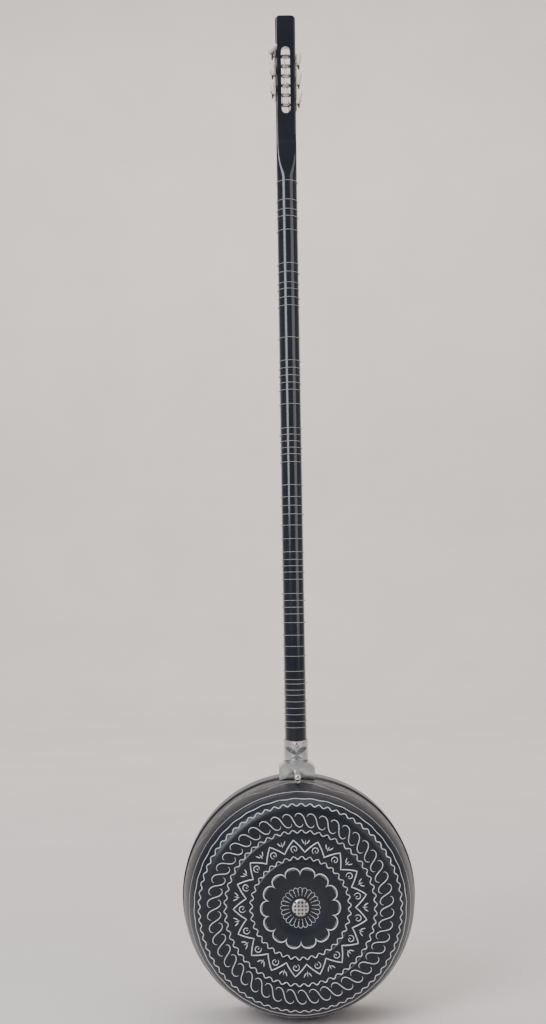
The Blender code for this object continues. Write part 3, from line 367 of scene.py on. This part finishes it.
inner = []
for i in range(0, len(profile), 3):
    r, d, normal = on_profile(lengths[i] + 1e-7)
    inner.append((max(0.001, r - normal.x * WALL), d - normal.y * WALL))
inner.append((RIM_R - WALL, -RIM_FRONT))
shell = profile + inner[::-1]
add_piece("spun_pot", turned_mesh("spun_pot", shell, 160, closed=True), "pot_body", PAINT, ["pot_shell"])

# %% [markdown]
# ## Ornament on the back
#
# The bright lines are cut through the paint in rings of repeated strokes: petals, scallops,
# waves, a zigzag with curls, and a band of S-scrolls. Each ring is a short formula, because the
# maker too repeated one stroke around the circle. The bars sit mostly below the surface, so
# each shows as a thin line that stands barely proud of the paint.

# %% Strokes drawn on the pot
STROKE_R = 0.00078      # radius of a bar
STROKE_SUNK = -0.00044  # its middle lies below the surface


def ring_paths(count, radius, stroke, depth=None, start=0.0):
    """Repeat a stroke of (across, outward) points, in metres, around the pot."""
    base = length_at(radius, depth)
    around = on_profile(base)[0]
    paths = []
    for k in range(count):
        middle = 2 * math.pi * (k + start) / count
        paths.append([on_pot(base + out, middle + across / around, STROKE_SUNK) for across, out in stroke])
    return paths


def wave_path(radius, waves, height, depth=None, steps=10, swing=0.0):
    """One closed line that swings in and out as it goes around."""
    base = length_at(radius, depth)
    path = []
    for i in range(waves * steps):
        angle = 2 * math.pi * i / (waves * steps)
        out = height * math.sin(waves * angle)
        lean = swing * math.cos(2 * waves * angle)
        path.append(on_pot(base + out, angle + lean, STROKE_SUNK))
    return path


def ornament(name, paths, material=LINE, width=1.0, cyclic=False, taper=0.0):
    mesh = stroke_mesh(name, paths, STROKE_R * width, cyclic=cyclic, taper=taper)
    return add_piece(name, mesh, "pot_body", material, angle=60)


# %% Wavy rings and plain lines
waves = [wave_path(0.0605, 38, 0.0019), wave_path(0.0925, 54, 0.0018)]
waves.append(wave_path(0.1245, 70, 0.0017))
waves.append(wave_path(0.1310, 40, 0.0006, steps=6))
ornament("wavy_rings", waves, cyclic=True)
plain = [wave_path(0.1372, 80, 0, steps=2)]
ornament("shoulder_line", plain, width=0.8, cyclic=True)
rim_lines = [wave_path(0.150, 80, 0, depth=d, steps=2) for d in (0.026, 0.006)]
ornament("rim_lines", rim_lines, SIDE_LINE, 0.8, cyclic=True)


# %% [markdown]
# An S-scroll bends one way, straightens, and bends the other way. Its turn grows with the
# distance from its middle, which is the curve that a draughtsman calls a clothoid.

# %% The S-scroll stroke
def scroll(height, lean, turn, steps=22):
    """An S of the given height. lean is its heading in the middle, turn how far each end curls."""
    half = []
    x = y = 0.0
    for i in range(steps // 2 + 1):
        half.append((x, y))
        share = i / (steps // 2)
        heading = lean + turn * share ** 2
        x, y = x + math.cos(heading), y + math.sin(heading)
    whole = [(-px, -py) for px, py in half[:0:-1]] + half
    tall = max(py for _, py in whole) - min(py for _, py in whole)
    return [(px * height / tall, py * height / tall) for px, py in whole]


hooks = ring_paths(46, 0.1062, scroll(0.0165, math.radians(66), math.radians(-175)))
ornament("scroll_band", hooks, width=0.95, taper=0.3)

# %% Zigzag with curls, dots and leaves
TEETH = 17
zigzag = []
for k in range(2 * TEETH):
    angle = math.pi * k / TEETH
    out = length_at(0.0820 if k % 2 else 0.0672)
    zigzag.append((out, angle))
path = []
for (u0, a0), (u1, a1) in zip(zigzag, zigzag[1:] + [(zigzag[0][0], 2 * math.pi)]):
    path += [on_pot(u0 + (u1 - u0) * t / 5, a0 + (a1 - a0) * t / 5, STROKE_SUNK) for t in range(5)]
ornament("zigzag_ring", [path], width=1.1, cyclic=True)

curl = []
for a in range(-70, 251, 32):
    angle = math.radians(a)
    wide = 0.0030 + 0.0014 * (a + 70) / 320
    curl.append((-wide * math.cos(angle), wide * math.sin(angle)))
curls = ring_paths(TEETH, 0.0708, curl, start=0.5)
leaves = ring_paths(TEETH, 0.0785, [(0, -0.0034), (0, 0), (0, 0.0050)])
for sign in (-1, 1):
    side_leaf = []
    for t in (0.1, 0.35, 0.6, 0.8, 1):
        side_leaf.append((sign * 0.0050 * t ** 0.8, 0.0044 * t * t - 0.0020 * (1 - t)))
    leaves += ring_paths(TEETH, 0.0790, side_leaf)
dots = ring_paths(TEETH, 0.0706, [(-0.0004, 0), (0.0004, 0)], start=0.5)
ornament("zigzag_curls", curls, width=0.95, taper=0.3)
ornament("zigzag_leaves", leaves, width=1.0, taper=0.5)
ornament("zigzag_dots", dots, width=1.5)


# %% Scallops and ticks round the dish
SCALLOPS = 14
SCALLOP_FOOT, TICK_MIDDLE = 0.0378, 0.0448
reach = math.pi * 0.041 / SCALLOPS * 0.94
arch = []
for t in range(15):
    angle = math.pi * t / 14
    arch.append((-reach * math.cos(angle), 0.0112 * math.sin(angle) ** 0.75))
ornament("scallops", ring_paths(SCALLOPS, SCALLOP_FOOT, arch), width=1.2, taper=0.6)
echo = []
for t in range(2, 9):
    angle = math.pi * t / 10
    echo.append((-reach * 0.7 * math.cos(angle), 0.0040 + 0.0052 * math.sin(angle)))
ornament("scallop_echoes", ring_paths(SCALLOPS, SCALLOP_FOOT, echo), SIDE_LINE, width=0.8, taper=0.6)
ticks = ring_paths(SCALLOPS, TICK_MIDDLE, [(0, -0.0016), (0, 0.0030)], start=0.5)
for sign in (-1, 1):
    ticks += ring_paths(SCALLOPS, TICK_MIDDLE, [(0, -0.0010), (sign * 0.0026, 0.0022)], start=0.5)
ornament("scallop_ticks", ticks, width=0.9, taper=0.5)

# %% Petals round the boss
PETALS = 24
petal_half = math.pi * 0.0205 / PETALS
petal = []
for t in range(13):
    rise = math.sin(math.pi * t / 12) ** 0.8
    petal.append((-petal_half * math.cos(math.pi * t / 12) * (0.55 + 0.4 * rise), 0.0118 * rise))
petals = ring_paths(PETALS, 0.0128, petal)
ornament("petals", petals, width=0.72, taper=0.3)


# %% [markdown]
# The side wall carries a quieter band: long pointed arcs that meet at the top, with a vine of
# small leaves between them. Its lines are rubbed dull, so they get a greyer finish.

# %% Arcs and vine on the side wall
ARCS, VINE_WAVES = 10, 30
SIDE_R, VINE_DEPTH = 0.146, 0.058
ARC_BEND = 1.3
arc_half = math.pi * 0.145 / ARCS
arcs = []
for depth, height in ((0.074, 0.019), (0.070, 0.013), (0.040, -0.014)):
    bow = [(arc_half * t / 10, height * (1 - abs(t / 10) ** ARC_BEND)) for t in range(-10, 11)]
    arcs += ring_paths(ARCS, SIDE_R, bow, depth=depth, start=ARCS / 4)
ornament("side_arcs", arcs, SIDE_LINE, 1.1, taper=0.4)
vine = wave_path(SIDE_R, VINE_WAVES, 0.0042, depth=VINE_DEPTH, steps=8)
ornament("side_vine", [vine], SIDE_LINE, 0.9, cyclic=True)
side_leaves = []
for sign, start in ((-1, 0.75), (1, 0.25)):
    for lean in (0.5, 1.0):
        blade = []
        for t in (0, 0.3, 0.6, 1):
            blade.append((sign * 0.0048 * lean * t, sign * (0.0015 + 0.0055 * t * (2 - t) * 0.75)))
        side_leaves += ring_paths(VINE_WAVES, SIDE_R, blade, depth=VINE_DEPTH, start=start)
ornament("side_leaves", side_leaves, SIDE_LINE, 1.1, taper=0.6)

# %% [markdown]
# ## The boss
#
# A small silver dome closes the middle of the back. A grid of pits is pressed into it.
# The dome is turned, and each pit is a flat button that follows the dome's slope, coloured with painted shade
# in place of the pit's depth.

# %% Dome and pits
BOSS_R, BOSS_RISE = 0.0108, 0.0046
floor = BACK_DEPTH - DISH_SINK
dome = [(0.0002, floor + BOSS_RISE)]
for a in range(8, 91, 6):
    angle = math.radians(min(a, 90))
    dome.append((BOSS_R * math.sin(angle), floor + 0.0014 + (BOSS_RISE - 0.0014) * math.cos(angle)))
dome += [(BOSS_R, floor + 0.0007), (BOSS_R - 0.0005, floor + 0.0003)]
dome.append((0.0002, floor + 0.0003))
add_piece("boss_dome", turned_mesh("boss_dome", dome, 64, closed=True), "pot_body", CAST, ["centre_boss"])

# The pits are flat buttons in painted shade, standing in for the shade inside real pits.
bm = bmesh.new()
PIT_STEP = 0.0044
for ix in (-1.5, -0.5, 0.5, 1.5):
    for iz in (-1.5, -0.5, 0.5, 1.5):
        x, z = ix * PIT_STEP, iz * PIT_STEP
        reach = math.hypot(x, z)
        if reach > BOSS_R * 0.87:
            continue
        slope = math.asin(reach / BOSS_R)
        depth = floor + 0.0014 + (BOSS_RISE - 0.0014) * math.cos(slope)
        outward = Vector((x * 0.35, -BOSS_R * 0.75, z * 0.35)).normalized()
        turn = outward.to_track_quat("Z", "Y").to_matrix().to_4x4()
        place = Matrix.Translation(POT_CENTRE + Vector((x, -depth, z))) @ turn
        bmesh.ops.create_cone(bm, cap_ends=True, segments=10, radius1=0.00155, radius2=0.0013,
                              depth=0.0005, matrix=place)
add_piece("boss_pits", mesh_of(bm, "boss_pits"), "pot_body", RECESS_SHADE)

# %% [markdown]
# ## Neck and headstock
#
# The neck is one long piece of wood. Its back is round, it swells flat into a volute under the
# nut, and the headstock leans back from there. Rings of points follow that shape, and bridging
# each pair of rings skins it. The slot, the string ramp and the roller holes are cut last.

# %% The neck's section
NECK_BOTTOM, NUT_Z, NUT_TOP, NECK_FRONT = 0.3204, 1.155, 1.157, 0.0077
HEAD_TILT, HEAD_HALF, HEAD_LENGTH, HEAD_THICK = math.radians(14), 0.0137, 0.165, 0.017
VOLUTE_START, SIDE_FLAT, CORNER = 1.105, 0.005, 0.0048
HEAD = Matrix.Translation((0, NECK_FRONT, NUT_TOP)) @ Matrix.Rotation(HEAD_TILT, 4, "X")
ARC = 20


def section(half, deep, side, square):
    """A flat front at 0, straight sides and a back that goes from round to square."""
    points = [(half, 0)]
    power = 1 / (1 + 4 * square)
    for i in range(ARC + 1):
        angle = math.pi * i / ARC
        across = math.copysign(abs(math.cos(angle)) ** power, math.cos(angle))
        points.append((half * across, -side - (deep - side) * math.sin(angle) ** power))
    points.append((-half, 0))
    return points


def neck_half(z):
    return 0.0144 + (0.0139 - 0.0144) * (z - NECK_BOTTOM) / (NUT_Z - NECK_BOTTOM)


def neck_deep(z):
    return 0.024 + (0.019 - 0.024) * (z - NECK_BOTTOM) / (NUT_Z - NECK_BOTTOM)


# %% Rings along the neck and the headstock
rings = []
for z in (NECK_BOTTOM, 0.6, 0.9, VOLUTE_START):
    shape = section(neck_half(z), neck_deep(z), SIDE_FLAT, 0)
    rings.append([Vector((x, NECK_FRONT + y, z)) for x, y in shape])
for i in range(1, 12):
    z = VOLUTE_START + (NUT_TOP - 0.004 - VOLUTE_START) * i / 11
    share = i / 11
    ease = share * share * (3 - 2 * share)
    swell = 0.0016 * math.sin(math.pi * share) ** 2
    shape = section(neck_half(z), neck_deep(z) + swell * 0.5, SIDE_FLAT, ease * 0.9)
    rings.append([Vector((x, NECK_FRONT + y, z)) for x, y in shape])
heights = [0.0045, 0.03, 0.06, 0.1, 0.14, HEAD_LENGTH - CORNER]
heights += [HEAD_LENGTH - CORNER * (1 - math.sin(math.radians(a))) for a in (25, 45, 62, 77, 87)]
for z in heights:
    over = max(0, z - HEAD_LENGTH + CORNER)
    half = HEAD_HALF - CORNER + math.sqrt(max(0, CORNER ** 2 - over ** 2))
    rings.append([HEAD @ Vector((x, y, z)) for x, y in section(half, HEAD_THICK, 0.004, 1)])
print("rings:", len(rings))


# %% Skin the rings
def skinned_mesh(name, loops):
    bm = bmesh.new()
    rows = []
    for loop in loops:
        verts = [bm.verts.new(point) for point in loop]
        rows.append([bm.edges.new((a, b)) for a, b in zip(verts, verts[1:] + verts[:1])])
    for low, high in zip(rows, rows[1:]):
        bmesh.ops.bridge_loops(bm, edges=low + high)
    for end in (rows[0], rows[-1]):
        bmesh.ops.contextual_create(bm, geom=end)
    bmesh.ops.recalc_face_normals(bm, faces=bm.faces)
    return mesh_of(bm, name)


def cut_from(mesh, cutters):
    """Take each cutter mesh out of the mesh with a Boolean."""
    body = bpy.data.objects.new("body", mesh)
    bpy.context.scene.collection.objects.link(body)
    tools = []
    for i, cutter in enumerate(cutters):
        tool = bpy.data.objects.new("tool", cutter)
        bpy.context.scene.collection.objects.link(tool)
        step = body.modifiers.new("cut" + str(i), "BOOLEAN")
        step.operation = "DIFFERENCE"
        step.solver = "EXACT"
        step.object = tool
        tools.append(tool)
    result = evaluated_mesh(body)
    for tool in tools:
        bpy.data.objects.remove(tool, do_unlink=True)
    return result


# %% Slot, ramp and roller holes
SLOT_LOW, SLOT_HIGH, SLOT_HALF = 0.0385, 0.125, 0.006
ROLLERS = [0.0503 + 0.0126 * i for i in range(6)]


def slot_outline():
    points = []
    for centre, start in ((SLOT_HIGH - SLOT_HALF, 0), (SLOT_LOW + SLOT_HALF, 180)):
        for a in range(start, start + 181, 15):
            angle = math.radians(a)
            points.append((SLOT_HALF * math.cos(angle), centre + SLOT_HALF * math.sin(angle)))
    return points


def prism(points, low, high, place):
    """A flat outline of (x, z) points pushed along local Y from low to high."""
    bm = bmesh.new()
    face = bm.faces.new([bm.verts.new((x, low, z)) for x, z in points])
    pushed = bmesh.ops.extrude_face_region(bm, geom=[face])
    moved = [v for v in pushed["geom"] if isinstance(v, bmesh.types.BMVert)]
    bmesh.ops.translate(bm, vec=(0, high - low, 0), verts=moved)
    bmesh.ops.recalc_face_normals(bm, faces=bm.faces)
    bmesh.ops.transform(bm, matrix=place, verts=bm.verts)
    return mesh_of(bm, "prism")


slot_cutter = prism(slot_outline(), -0.03, 0.01, HEAD)
sideways = Matrix(((0, 1, 0, 0), (1, 0, 0, 0), (0, 0, 1, 0), (0, 0, 0, 1)))
ramp = [(0.002, 0.0155), (0.002, 0.0437), (-0.0065, 0.0437)]
ramp_cutter = prism(ramp, -0.0078, 0.0078, HEAD @ sideways)
bm = bmesh.new()
for i, z in enumerate(ROLLERS):
    side = 1 if i % 2 == 0 else -1
    along = Matrix.Translation((side * 0.0035, -HEAD_THICK / 2, z)) @ Matrix.Rotation(math.pi / 2, 4, "Y")
    bmesh.ops.create_cone(bm, cap_ends=True, segments=20, radius1=0.002, radius2=0.002, depth=0.028,
                          matrix=HEAD @ along)
holes = mesh_of(bm, "holes")
neck_mesh = cut_from(skinned_mesh("neck_wood", rings), [slot_cutter, ramp_cutter, holes])
add_piece("neck_wood", neck_mesh, "neck_body", LACQUER, ["neck"], angle=42)

# %% [markdown]
# The fingerboard is a thin dark board glued on the front of the neck, narrower towards the nut.
# It starts as a cube whose upper end is drawn in, and its long edges are eased.

# %% Fingerboard
BOARD_TOP, BOARD_LOW = 0.0120, 0.0080
bm = bmesh.new()
bmesh.ops.create_cube(bm, size=1)
for vert in bm.verts:
    z = 1.1527 if vert.co.z > 0 else NECK_BOTTOM
    vert.co = (math.copysign(neck_half(z), vert.co.x), BOARD_TOP if vert.co.y > 0 else BOARD_LOW, z)
bmesh.ops.bevel(bm, geom=list(bm.edges), offset=0.0006, offset_type="OFFSET", segments=3, profile=0.5,
                affect="EDGES", material=-1)
add_piece("fingerboard_wood", mesh_of(bm, "fingerboard_wood"), "neck_body", DARK_WOOD, ["fingerboard"])

# %% [markdown]
# ## Tied frets
#
# Each fret is a loop of clear line tied round neck and board, and it can be slid to tune the
# scale. Their heights follow the scale's commas, 53 to the octave. A small knot shows on the side.

# %% Heights of the frets
FRET_COMMAS = (
    4, 6, 7, 7.75, 9.25, 13, 14, 15.25, 16, 17, 18, 22,
    25, 26, 27, 28, 29, 31, 34.5, 35.5, 36.5, 37.5, 38.5, 39.75,
    43.5, 45.5, 47, 48.5, 50.5, 53, 55.5, 57, 58.25, 59.5, 61,
    64, 65.5, 67, 68.5, 70.5, 73.5, 76.25, 78.75,
    82.75, 85, 86.25, 88, 89.5, 91.5, 93.5, 95.5, 97.75, 99.75,
)
STRING_LENGTH = 1.090
fret_heights = [NUT_Z - STRING_LENGTH * (1 - 2 ** (-c / 53)) for c in FRET_COMMAS]
print("frets:", len(fret_heights), "lowest at", round(fret_heights[-1], 3))

# %% Loops and knots
LINE_R = 0.00034
KNOT_R, KNOT_Y, KNOT_SHAPE = 0.0008, 0.0050, (0.9, 1.7, 1.2, 1)
loops = []
for z in fret_heights:
    half, deep = neck_half(z) + LINE_R, neck_deep(z) + LINE_R
    top = BOARD_TOP + LINE_R * 0.9
    shape = section(half, deep, SIDE_FLAT, 0)[1:-1:2]
    loop = [(half - 0.0005, top)] + [(x, NECK_FRONT + y) for x, y in shape] + [(-half + 0.0005, top)]
    loops.append([Vector((x, y, z)) for x, y in loop])
loop_mesh = stroke_mesh("fret_loops", loops, LINE_R, sides=2, cyclic=True)
bm = bmesh.new()
bm.from_mesh(loop_mesh)
for i, z in enumerate(fret_heights):
    side = -1 if i % 3 else 1
    knot = Matrix.Translation((side * (neck_half(z) + 0.0007), KNOT_Y, z)) @ Matrix.Diagonal(KNOT_SHAPE)
    bmesh.ops.create_icosphere(bm, subdivisions=2, radius=KNOT_R, matrix=knot)
add_piece("fret_loops", mesh_of(bm, "fret_loops"), "neck_body", NYLON, angle=60)

# %% [markdown]
# ## Measured parts that only need a better finish
#
# Small hardware already has the right shape. A copy of its mesh is merged, its flat triangles are
# dissolved and its edges are eased with a bevel, and the copy stands for the measured part.

# %% Smooth copies
def smoothed(node, body, material, bevel=0.0, angle=35):
    bm = bmesh.new()
    bm.from_mesh(frame["nodes"][node].data)
    bmesh.ops.remove_doubles(bm, verts=bm.verts, dist=2e-6)
    bmesh.ops.dissolve_limit(bm, angle_limit=math.radians(1), verts=bm.verts, edges=bm.edges)
    mesh = mesh_of(bm, node + "_finish")
    if bevel:
        carrier = bpy.data.objects.new("carrier", mesh)
        bpy.context.scene.collection.objects.link(carrier)
        edge = carrier.modifiers.new("eased edges", "BEVEL")
        edge.width = bevel
        edge.segments = 2
        edge.limit_method = "ANGLE"
        edge.angle_limit = math.radians(angle)
        edge.use_clamp_overlap = True
        mesh = evaluated_mesh(carrier)
    return add_piece(node + "_finish", mesh, body, material, [node], angle)


body_of_node = {}
for body, group in frame["record"]["behaviour"]["bodies"].items():
    for node in group:
        body_of_node[node] = body

SMOOTHED = [
    ("base_shoe", CAST, 0.0007, 30), ("heel_socket", CAST, 0.0004, 30), ("heel_screw", NICKEL, 0.0003, 40),
    ("adjusting_screw", NICKEL, 0.0004, 40), ("tension_ring", NICKEL, 0.0003, 30),
    ("drum_head", SKIN, 0.0, 40), ("flesh_hoop", WIRE, 0.0, 40), ("bearing_ring", CAST, 0.0, 40),
    ("tailpiece", NICKEL, 0.0002, 30), ("bridge", MAPLE, 0.0005, 30), ("nut", BONE, 0.0002, 30),
    ("tuner_plate_left", NICKEL, 0.0002, 30), ("tuner_plate_right", NICKEL, 0.0002, 30),
    ("tailpiece_screw_left", NICKEL, 0.0, 40), ("tailpiece_screw_right", NICKEL, 0.0, 40),
]
for i in "123456":
    SMOOTHED += [("tuner_button_" + i, CREAM, 0.0, 70), ("worm_shaft_" + i, BRONZE, 0.0, 35)]
    SMOOTHED += [("worm_gear_" + i, BRONZE, 0.0001, 30), ("string_roller_" + i, NICKEL, 0.0002, 35)]
    SMOOTHED += [("string_" + i, WIRE, 0.0, 60), ("string_winding_" + i, WIRE, 0.0, 60)]
for node, material, bevel, angle in SMOOTHED:
    smoothed(node, body_of_node[node], material, bevel, angle)

for node, body in body_of_node.items():
    piece = frame["nodes"][node]
    if not piece.hide_render:
        piece.data.materials.clear()
        piece.data.materials.append(WIRE)
        print("kept as measured:", node)

# %% [markdown]
# ## Ornament on the heel
#
# The cast socket carries a low relief: a pair of leaves on a stem under the screw, with dots.
# A smooth skin rounds the socket, and each leaf is a domed strip laid on it. The screw's head has
# turned rings, drawn as thin dark lines of painted groove shade.

# %% Smooth skin round the socket
SOCKET_LOW, SOCKET_TALL, SOCKET_DIP, DIP_R = 0.3181, 0.0264, 0.0016, 0.060
SKIN_GROW, SOCKET_FRONT = 0.0016, -0.0014
socket_half, socket_deep = neck_half(0.33) + SKIN_GROW, neck_deep(0.33) + SKIN_GROW


def socket_ring(z, grow, front):
    """The neck's section grown outwards, with its two front corners moved to front."""
    points = section(neck_half(z) + grow, neck_deep(z) + grow, SIDE_FLAT, 0)
    points[0], points[-1] = (points[0][0], front), (points[-1][0], front)
    return [Vector((x, NECK_FRONT + y, z)) for x, y in points]


socket_top = SOCKET_LOW + SOCKET_TALL
skin = skinned_mesh("skin", [socket_ring(z, SKIN_GROW, SOCKET_FRONT) for z in (SOCKET_LOW, socket_top)])
pocket = skinned_mesh("pocket", [socket_ring(z, 0.0001, 0.01) for z in (NECK_BOTTOM, 0.36)])
bm = bmesh.new()
dip_place = Matrix.Translation((0, 0, socket_top - SOCKET_DIP + DIP_R)) @ Matrix.Rotation(math.pi / 2, 4, "X")
bmesh.ops.create_cone(bm, cap_ends=True, segments=96, radius1=DIP_R, radius2=DIP_R, depth=0.1,
                      matrix=dip_place)
skin_mesh = cut_from(skin, [pocket, mesh_of(bm, "dip")])
add_piece("socket_skin", skin_mesh, "neck_body", CAST, angle=40)


# %% Relief on the socket
def on_socket(x, z, lift=0.0):
    """A point on the socket's back. Its section is half of an ellipse below the flat sides."""
    share = min(1, abs(x) / socket_half)
    y = NECK_FRONT - SIDE_FLAT - (socket_deep - SIDE_FLAT) * math.sqrt(1 - share * share)
    return Vector((x, y - lift, z))


def add_blade(bm, foot, tip, width, bend=0.0, rise=0.0006):
    """A domed leaf from foot to tip, both (x, z) points, laid on the socket."""
    along = Vector(tip) - Vector(foot)
    across = Vector((-along.y, along.x)).normalized()
    rows = []
    for i in range(13):
        t = i / 12
        wide = width / 2 * (math.sin(math.pi * (0.04 + 0.92 * t)) ** 0.7)
        middle = Vector(foot) + along * t + across * bend * math.sin(math.pi * t)
        row = []
        for j in range(-3, 4):
            x, z = middle + across * wide * j / 3
            row.append(bm.verts.new(on_socket(x, z, rise * (1 - (j / 3) ** 4) - 0.0002)))
        rows.append(row)
    for low, high in zip(rows, rows[1:]):
        for j in range(6):
            bm.faces.new((low[j], low[j + 1], high[j + 1], high[j]))


RELIEF = finish("aged relief", ((0.13, 0.14, 0.135), (0.30, 0.31, 0.30)), 260, (0.35, 0.55), 0.6, 0.9)
bm = bmesh.new()
for sign in (-1, 1):
    leaf_foot, leaf_tip = (sign * 0.0006, SOCKET_LOW + 0.0080), (sign * 0.0138, SOCKET_LOW + 0.0165)
    add_blade(bm, leaf_foot, leaf_tip, 0.0078, sign * 0.0012)
    root_foot, root_tip = (sign * 0.0004, SOCKET_LOW + 0.0062), (sign * 0.0070, SOCKET_LOW + 0.0022)
    add_blade(bm, root_foot, root_tip, 0.0026)
add_blade(bm, (0, SOCKET_LOW + 0.0012), (0, SOCKET_LOW + 0.0118), 0.0030)
bmesh.ops.recalc_face_normals(bm, faces=bm.faces)
add_piece("socket_relief", mesh_of(bm, "socket_relief"), "neck_body", RELIEF, angle=60)

# %% Veins in the leaves and beads beside them
veins = []
for sign in (-1, 1):
    for height in (0.0098, 0.0116):
        vein = []
        for t in (0, 0.25, 0.5, 0.75, 1):
            x, z = sign * (0.0016 + 0.0112 * t), SOCKET_LOW + height + 0.0066 * t - 0.002 * t * t
            vein.append(on_socket(x, z, 0.0004))
        veins.append(vein)
# The veins are thin dark lines laid on the leaves: painted shade in the relief's grooves.
vein_mesh = stroke_mesh("relief_veins", veins, 0.00025, taper=0.4)
add_piece("relief_veins", vein_mesh, "neck_body", RECESS_SHADE, angle=60)
BEAD_R = 0.0007
bm = bmesh.new()
for sign in (-1, 1):
    for x, z in ((0.0098, 0.0060), (0.0118, 0.0088), (0.0112, 0.0040)):
        spot = Matrix.Translation(on_socket(sign * x, SOCKET_LOW + z))
        bmesh.ops.create_icosphere(bm, subdivisions=2, radius=BEAD_R, matrix=spot)
add_piece("relief_beads", mesh_of(bm, "relief_beads"), "neck_body", CAST, angle=60)

# %% Rings on the heel screw
screw_low, screw_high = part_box("heel_screw")
screw_middle = (screw_low + screw_high) / 2
turned_rings = []
for radius, rise in ((0.0033, 0.0007), (0.0019, 0.0011)):
    ring = []
    for a in range(0, 360, 20):
        angle = math.radians(a)
        ring.append(Vector((screw_middle.x + radius * math.cos(angle), screw_low.y + 0.0016 - rise - 0.00015,
                            screw_middle.z + radius * math.sin(angle))))
    turned_rings.append(ring)
# The rings are thin dark lines: painted shade in the screw head's turned grooves.
screw_rings = stroke_mesh("screw_rings", turned_rings, 0.00022, cyclic=True)
add_piece("screw_rings", screw_rings, "neck_body", RECESS_SHADE, angle=60)

# %% [markdown]
# ## Floor and light
#
# A pale sweep stands in for floor and wall, far enough away for a look from behind. A large soft
# lamp at the upper left gives the long highlight down the neck, a weaker one on the right keeps
# the far side readable, and a wide one lights the wall.

# %% Sweep
FLOOR_HALF, WALL_PLACE, WALL_RISE = 14, 4.8, 9
bm = bmesh.new()
bmesh.ops.create_grid(bm, x_segments=1, y_segments=1, size=FLOOR_HALF)
back = [edge for edge in bm.edges if all(v.co.y > 0 for v in edge.verts)]
pushed = bmesh.ops.extrude_edge_only(bm, edges=back)
raised = [v for v in pushed["geom"] if isinstance(v, bmesh.types.BMVert)]
bmesh.ops.translate(bm, vec=(0, 0, WALL_RISE), verts=raised)
bmesh.ops.translate(bm, vec=(0, WALL_PLACE - FLOOR_HALF, 0), verts=bm.verts)
sweep_mesh = mesh_of(bm, "sweep")
sweep = bpy.data.objects.new("sweep", sweep_mesh)
bpy.context.scene.collection.objects.link(sweep)
PLASTER = finish("pale plaster", ((0.84, 0.78, 0.745), (0.88, 0.82, 0.785)), 3, (0.8, 0.9), 0.05)
sweep_mesh.materials.append(PLASTER)
bend = sweep.modifiers.new("soft corner", "BEVEL")
bend.width = 1.2
bend.segments = 12


# %% Lamps
def add_lamp(name, place, aim, size, power, colour):
    light = bpy.data.lights.new(name, "AREA")
    light.shape = "RECTANGLE"
    light.size, light.size_y = size
    light.energy = power
    light.color = colour
    lamp = bpy.data.objects.new(name, light)
    lamp.location = place
    lamp.rotation_euler = (Vector(aim) - Vector(place)).to_track_quat("-Z", "Y").to_euler()
    bpy.context.scene.collection.objects.link(lamp)


add_lamp("window", (-1.7, -2.0, 1.9), (0, 0, 0.6), (1.1, 2.2), 62, (0.93, 0.96, 1.0))
add_lamp("room", (2.0, -1.6, 1.2), (0, 0, 0.6), (1.6, 1.6), 16, (1.0, 0.95, 0.9))
add_lamp("ceiling", (0.2, -0.6, 3.0), (0, 0.4, 0), (2.0, 2.0), 26, (1.0, 0.98, 0.95))
add_lamp("wall wash", (0, 1.8, 3.6), (0, WALL_PLACE, 0.9), (7.0, 1.5), 150, (1.0, 0.95, 0.91))
world = bpy.data.worlds.new("room light")
world.use_nodes = True
world.node_tree.nodes["Background"].inputs["Color"].default_value = (0.70, 0.75, 0.84, 1)
world.node_tree.nodes["Background"].inputs["Strength"].default_value = 0.48
bpy.context.scene.world = world
print("lamps:", len(bpy.data.lights))
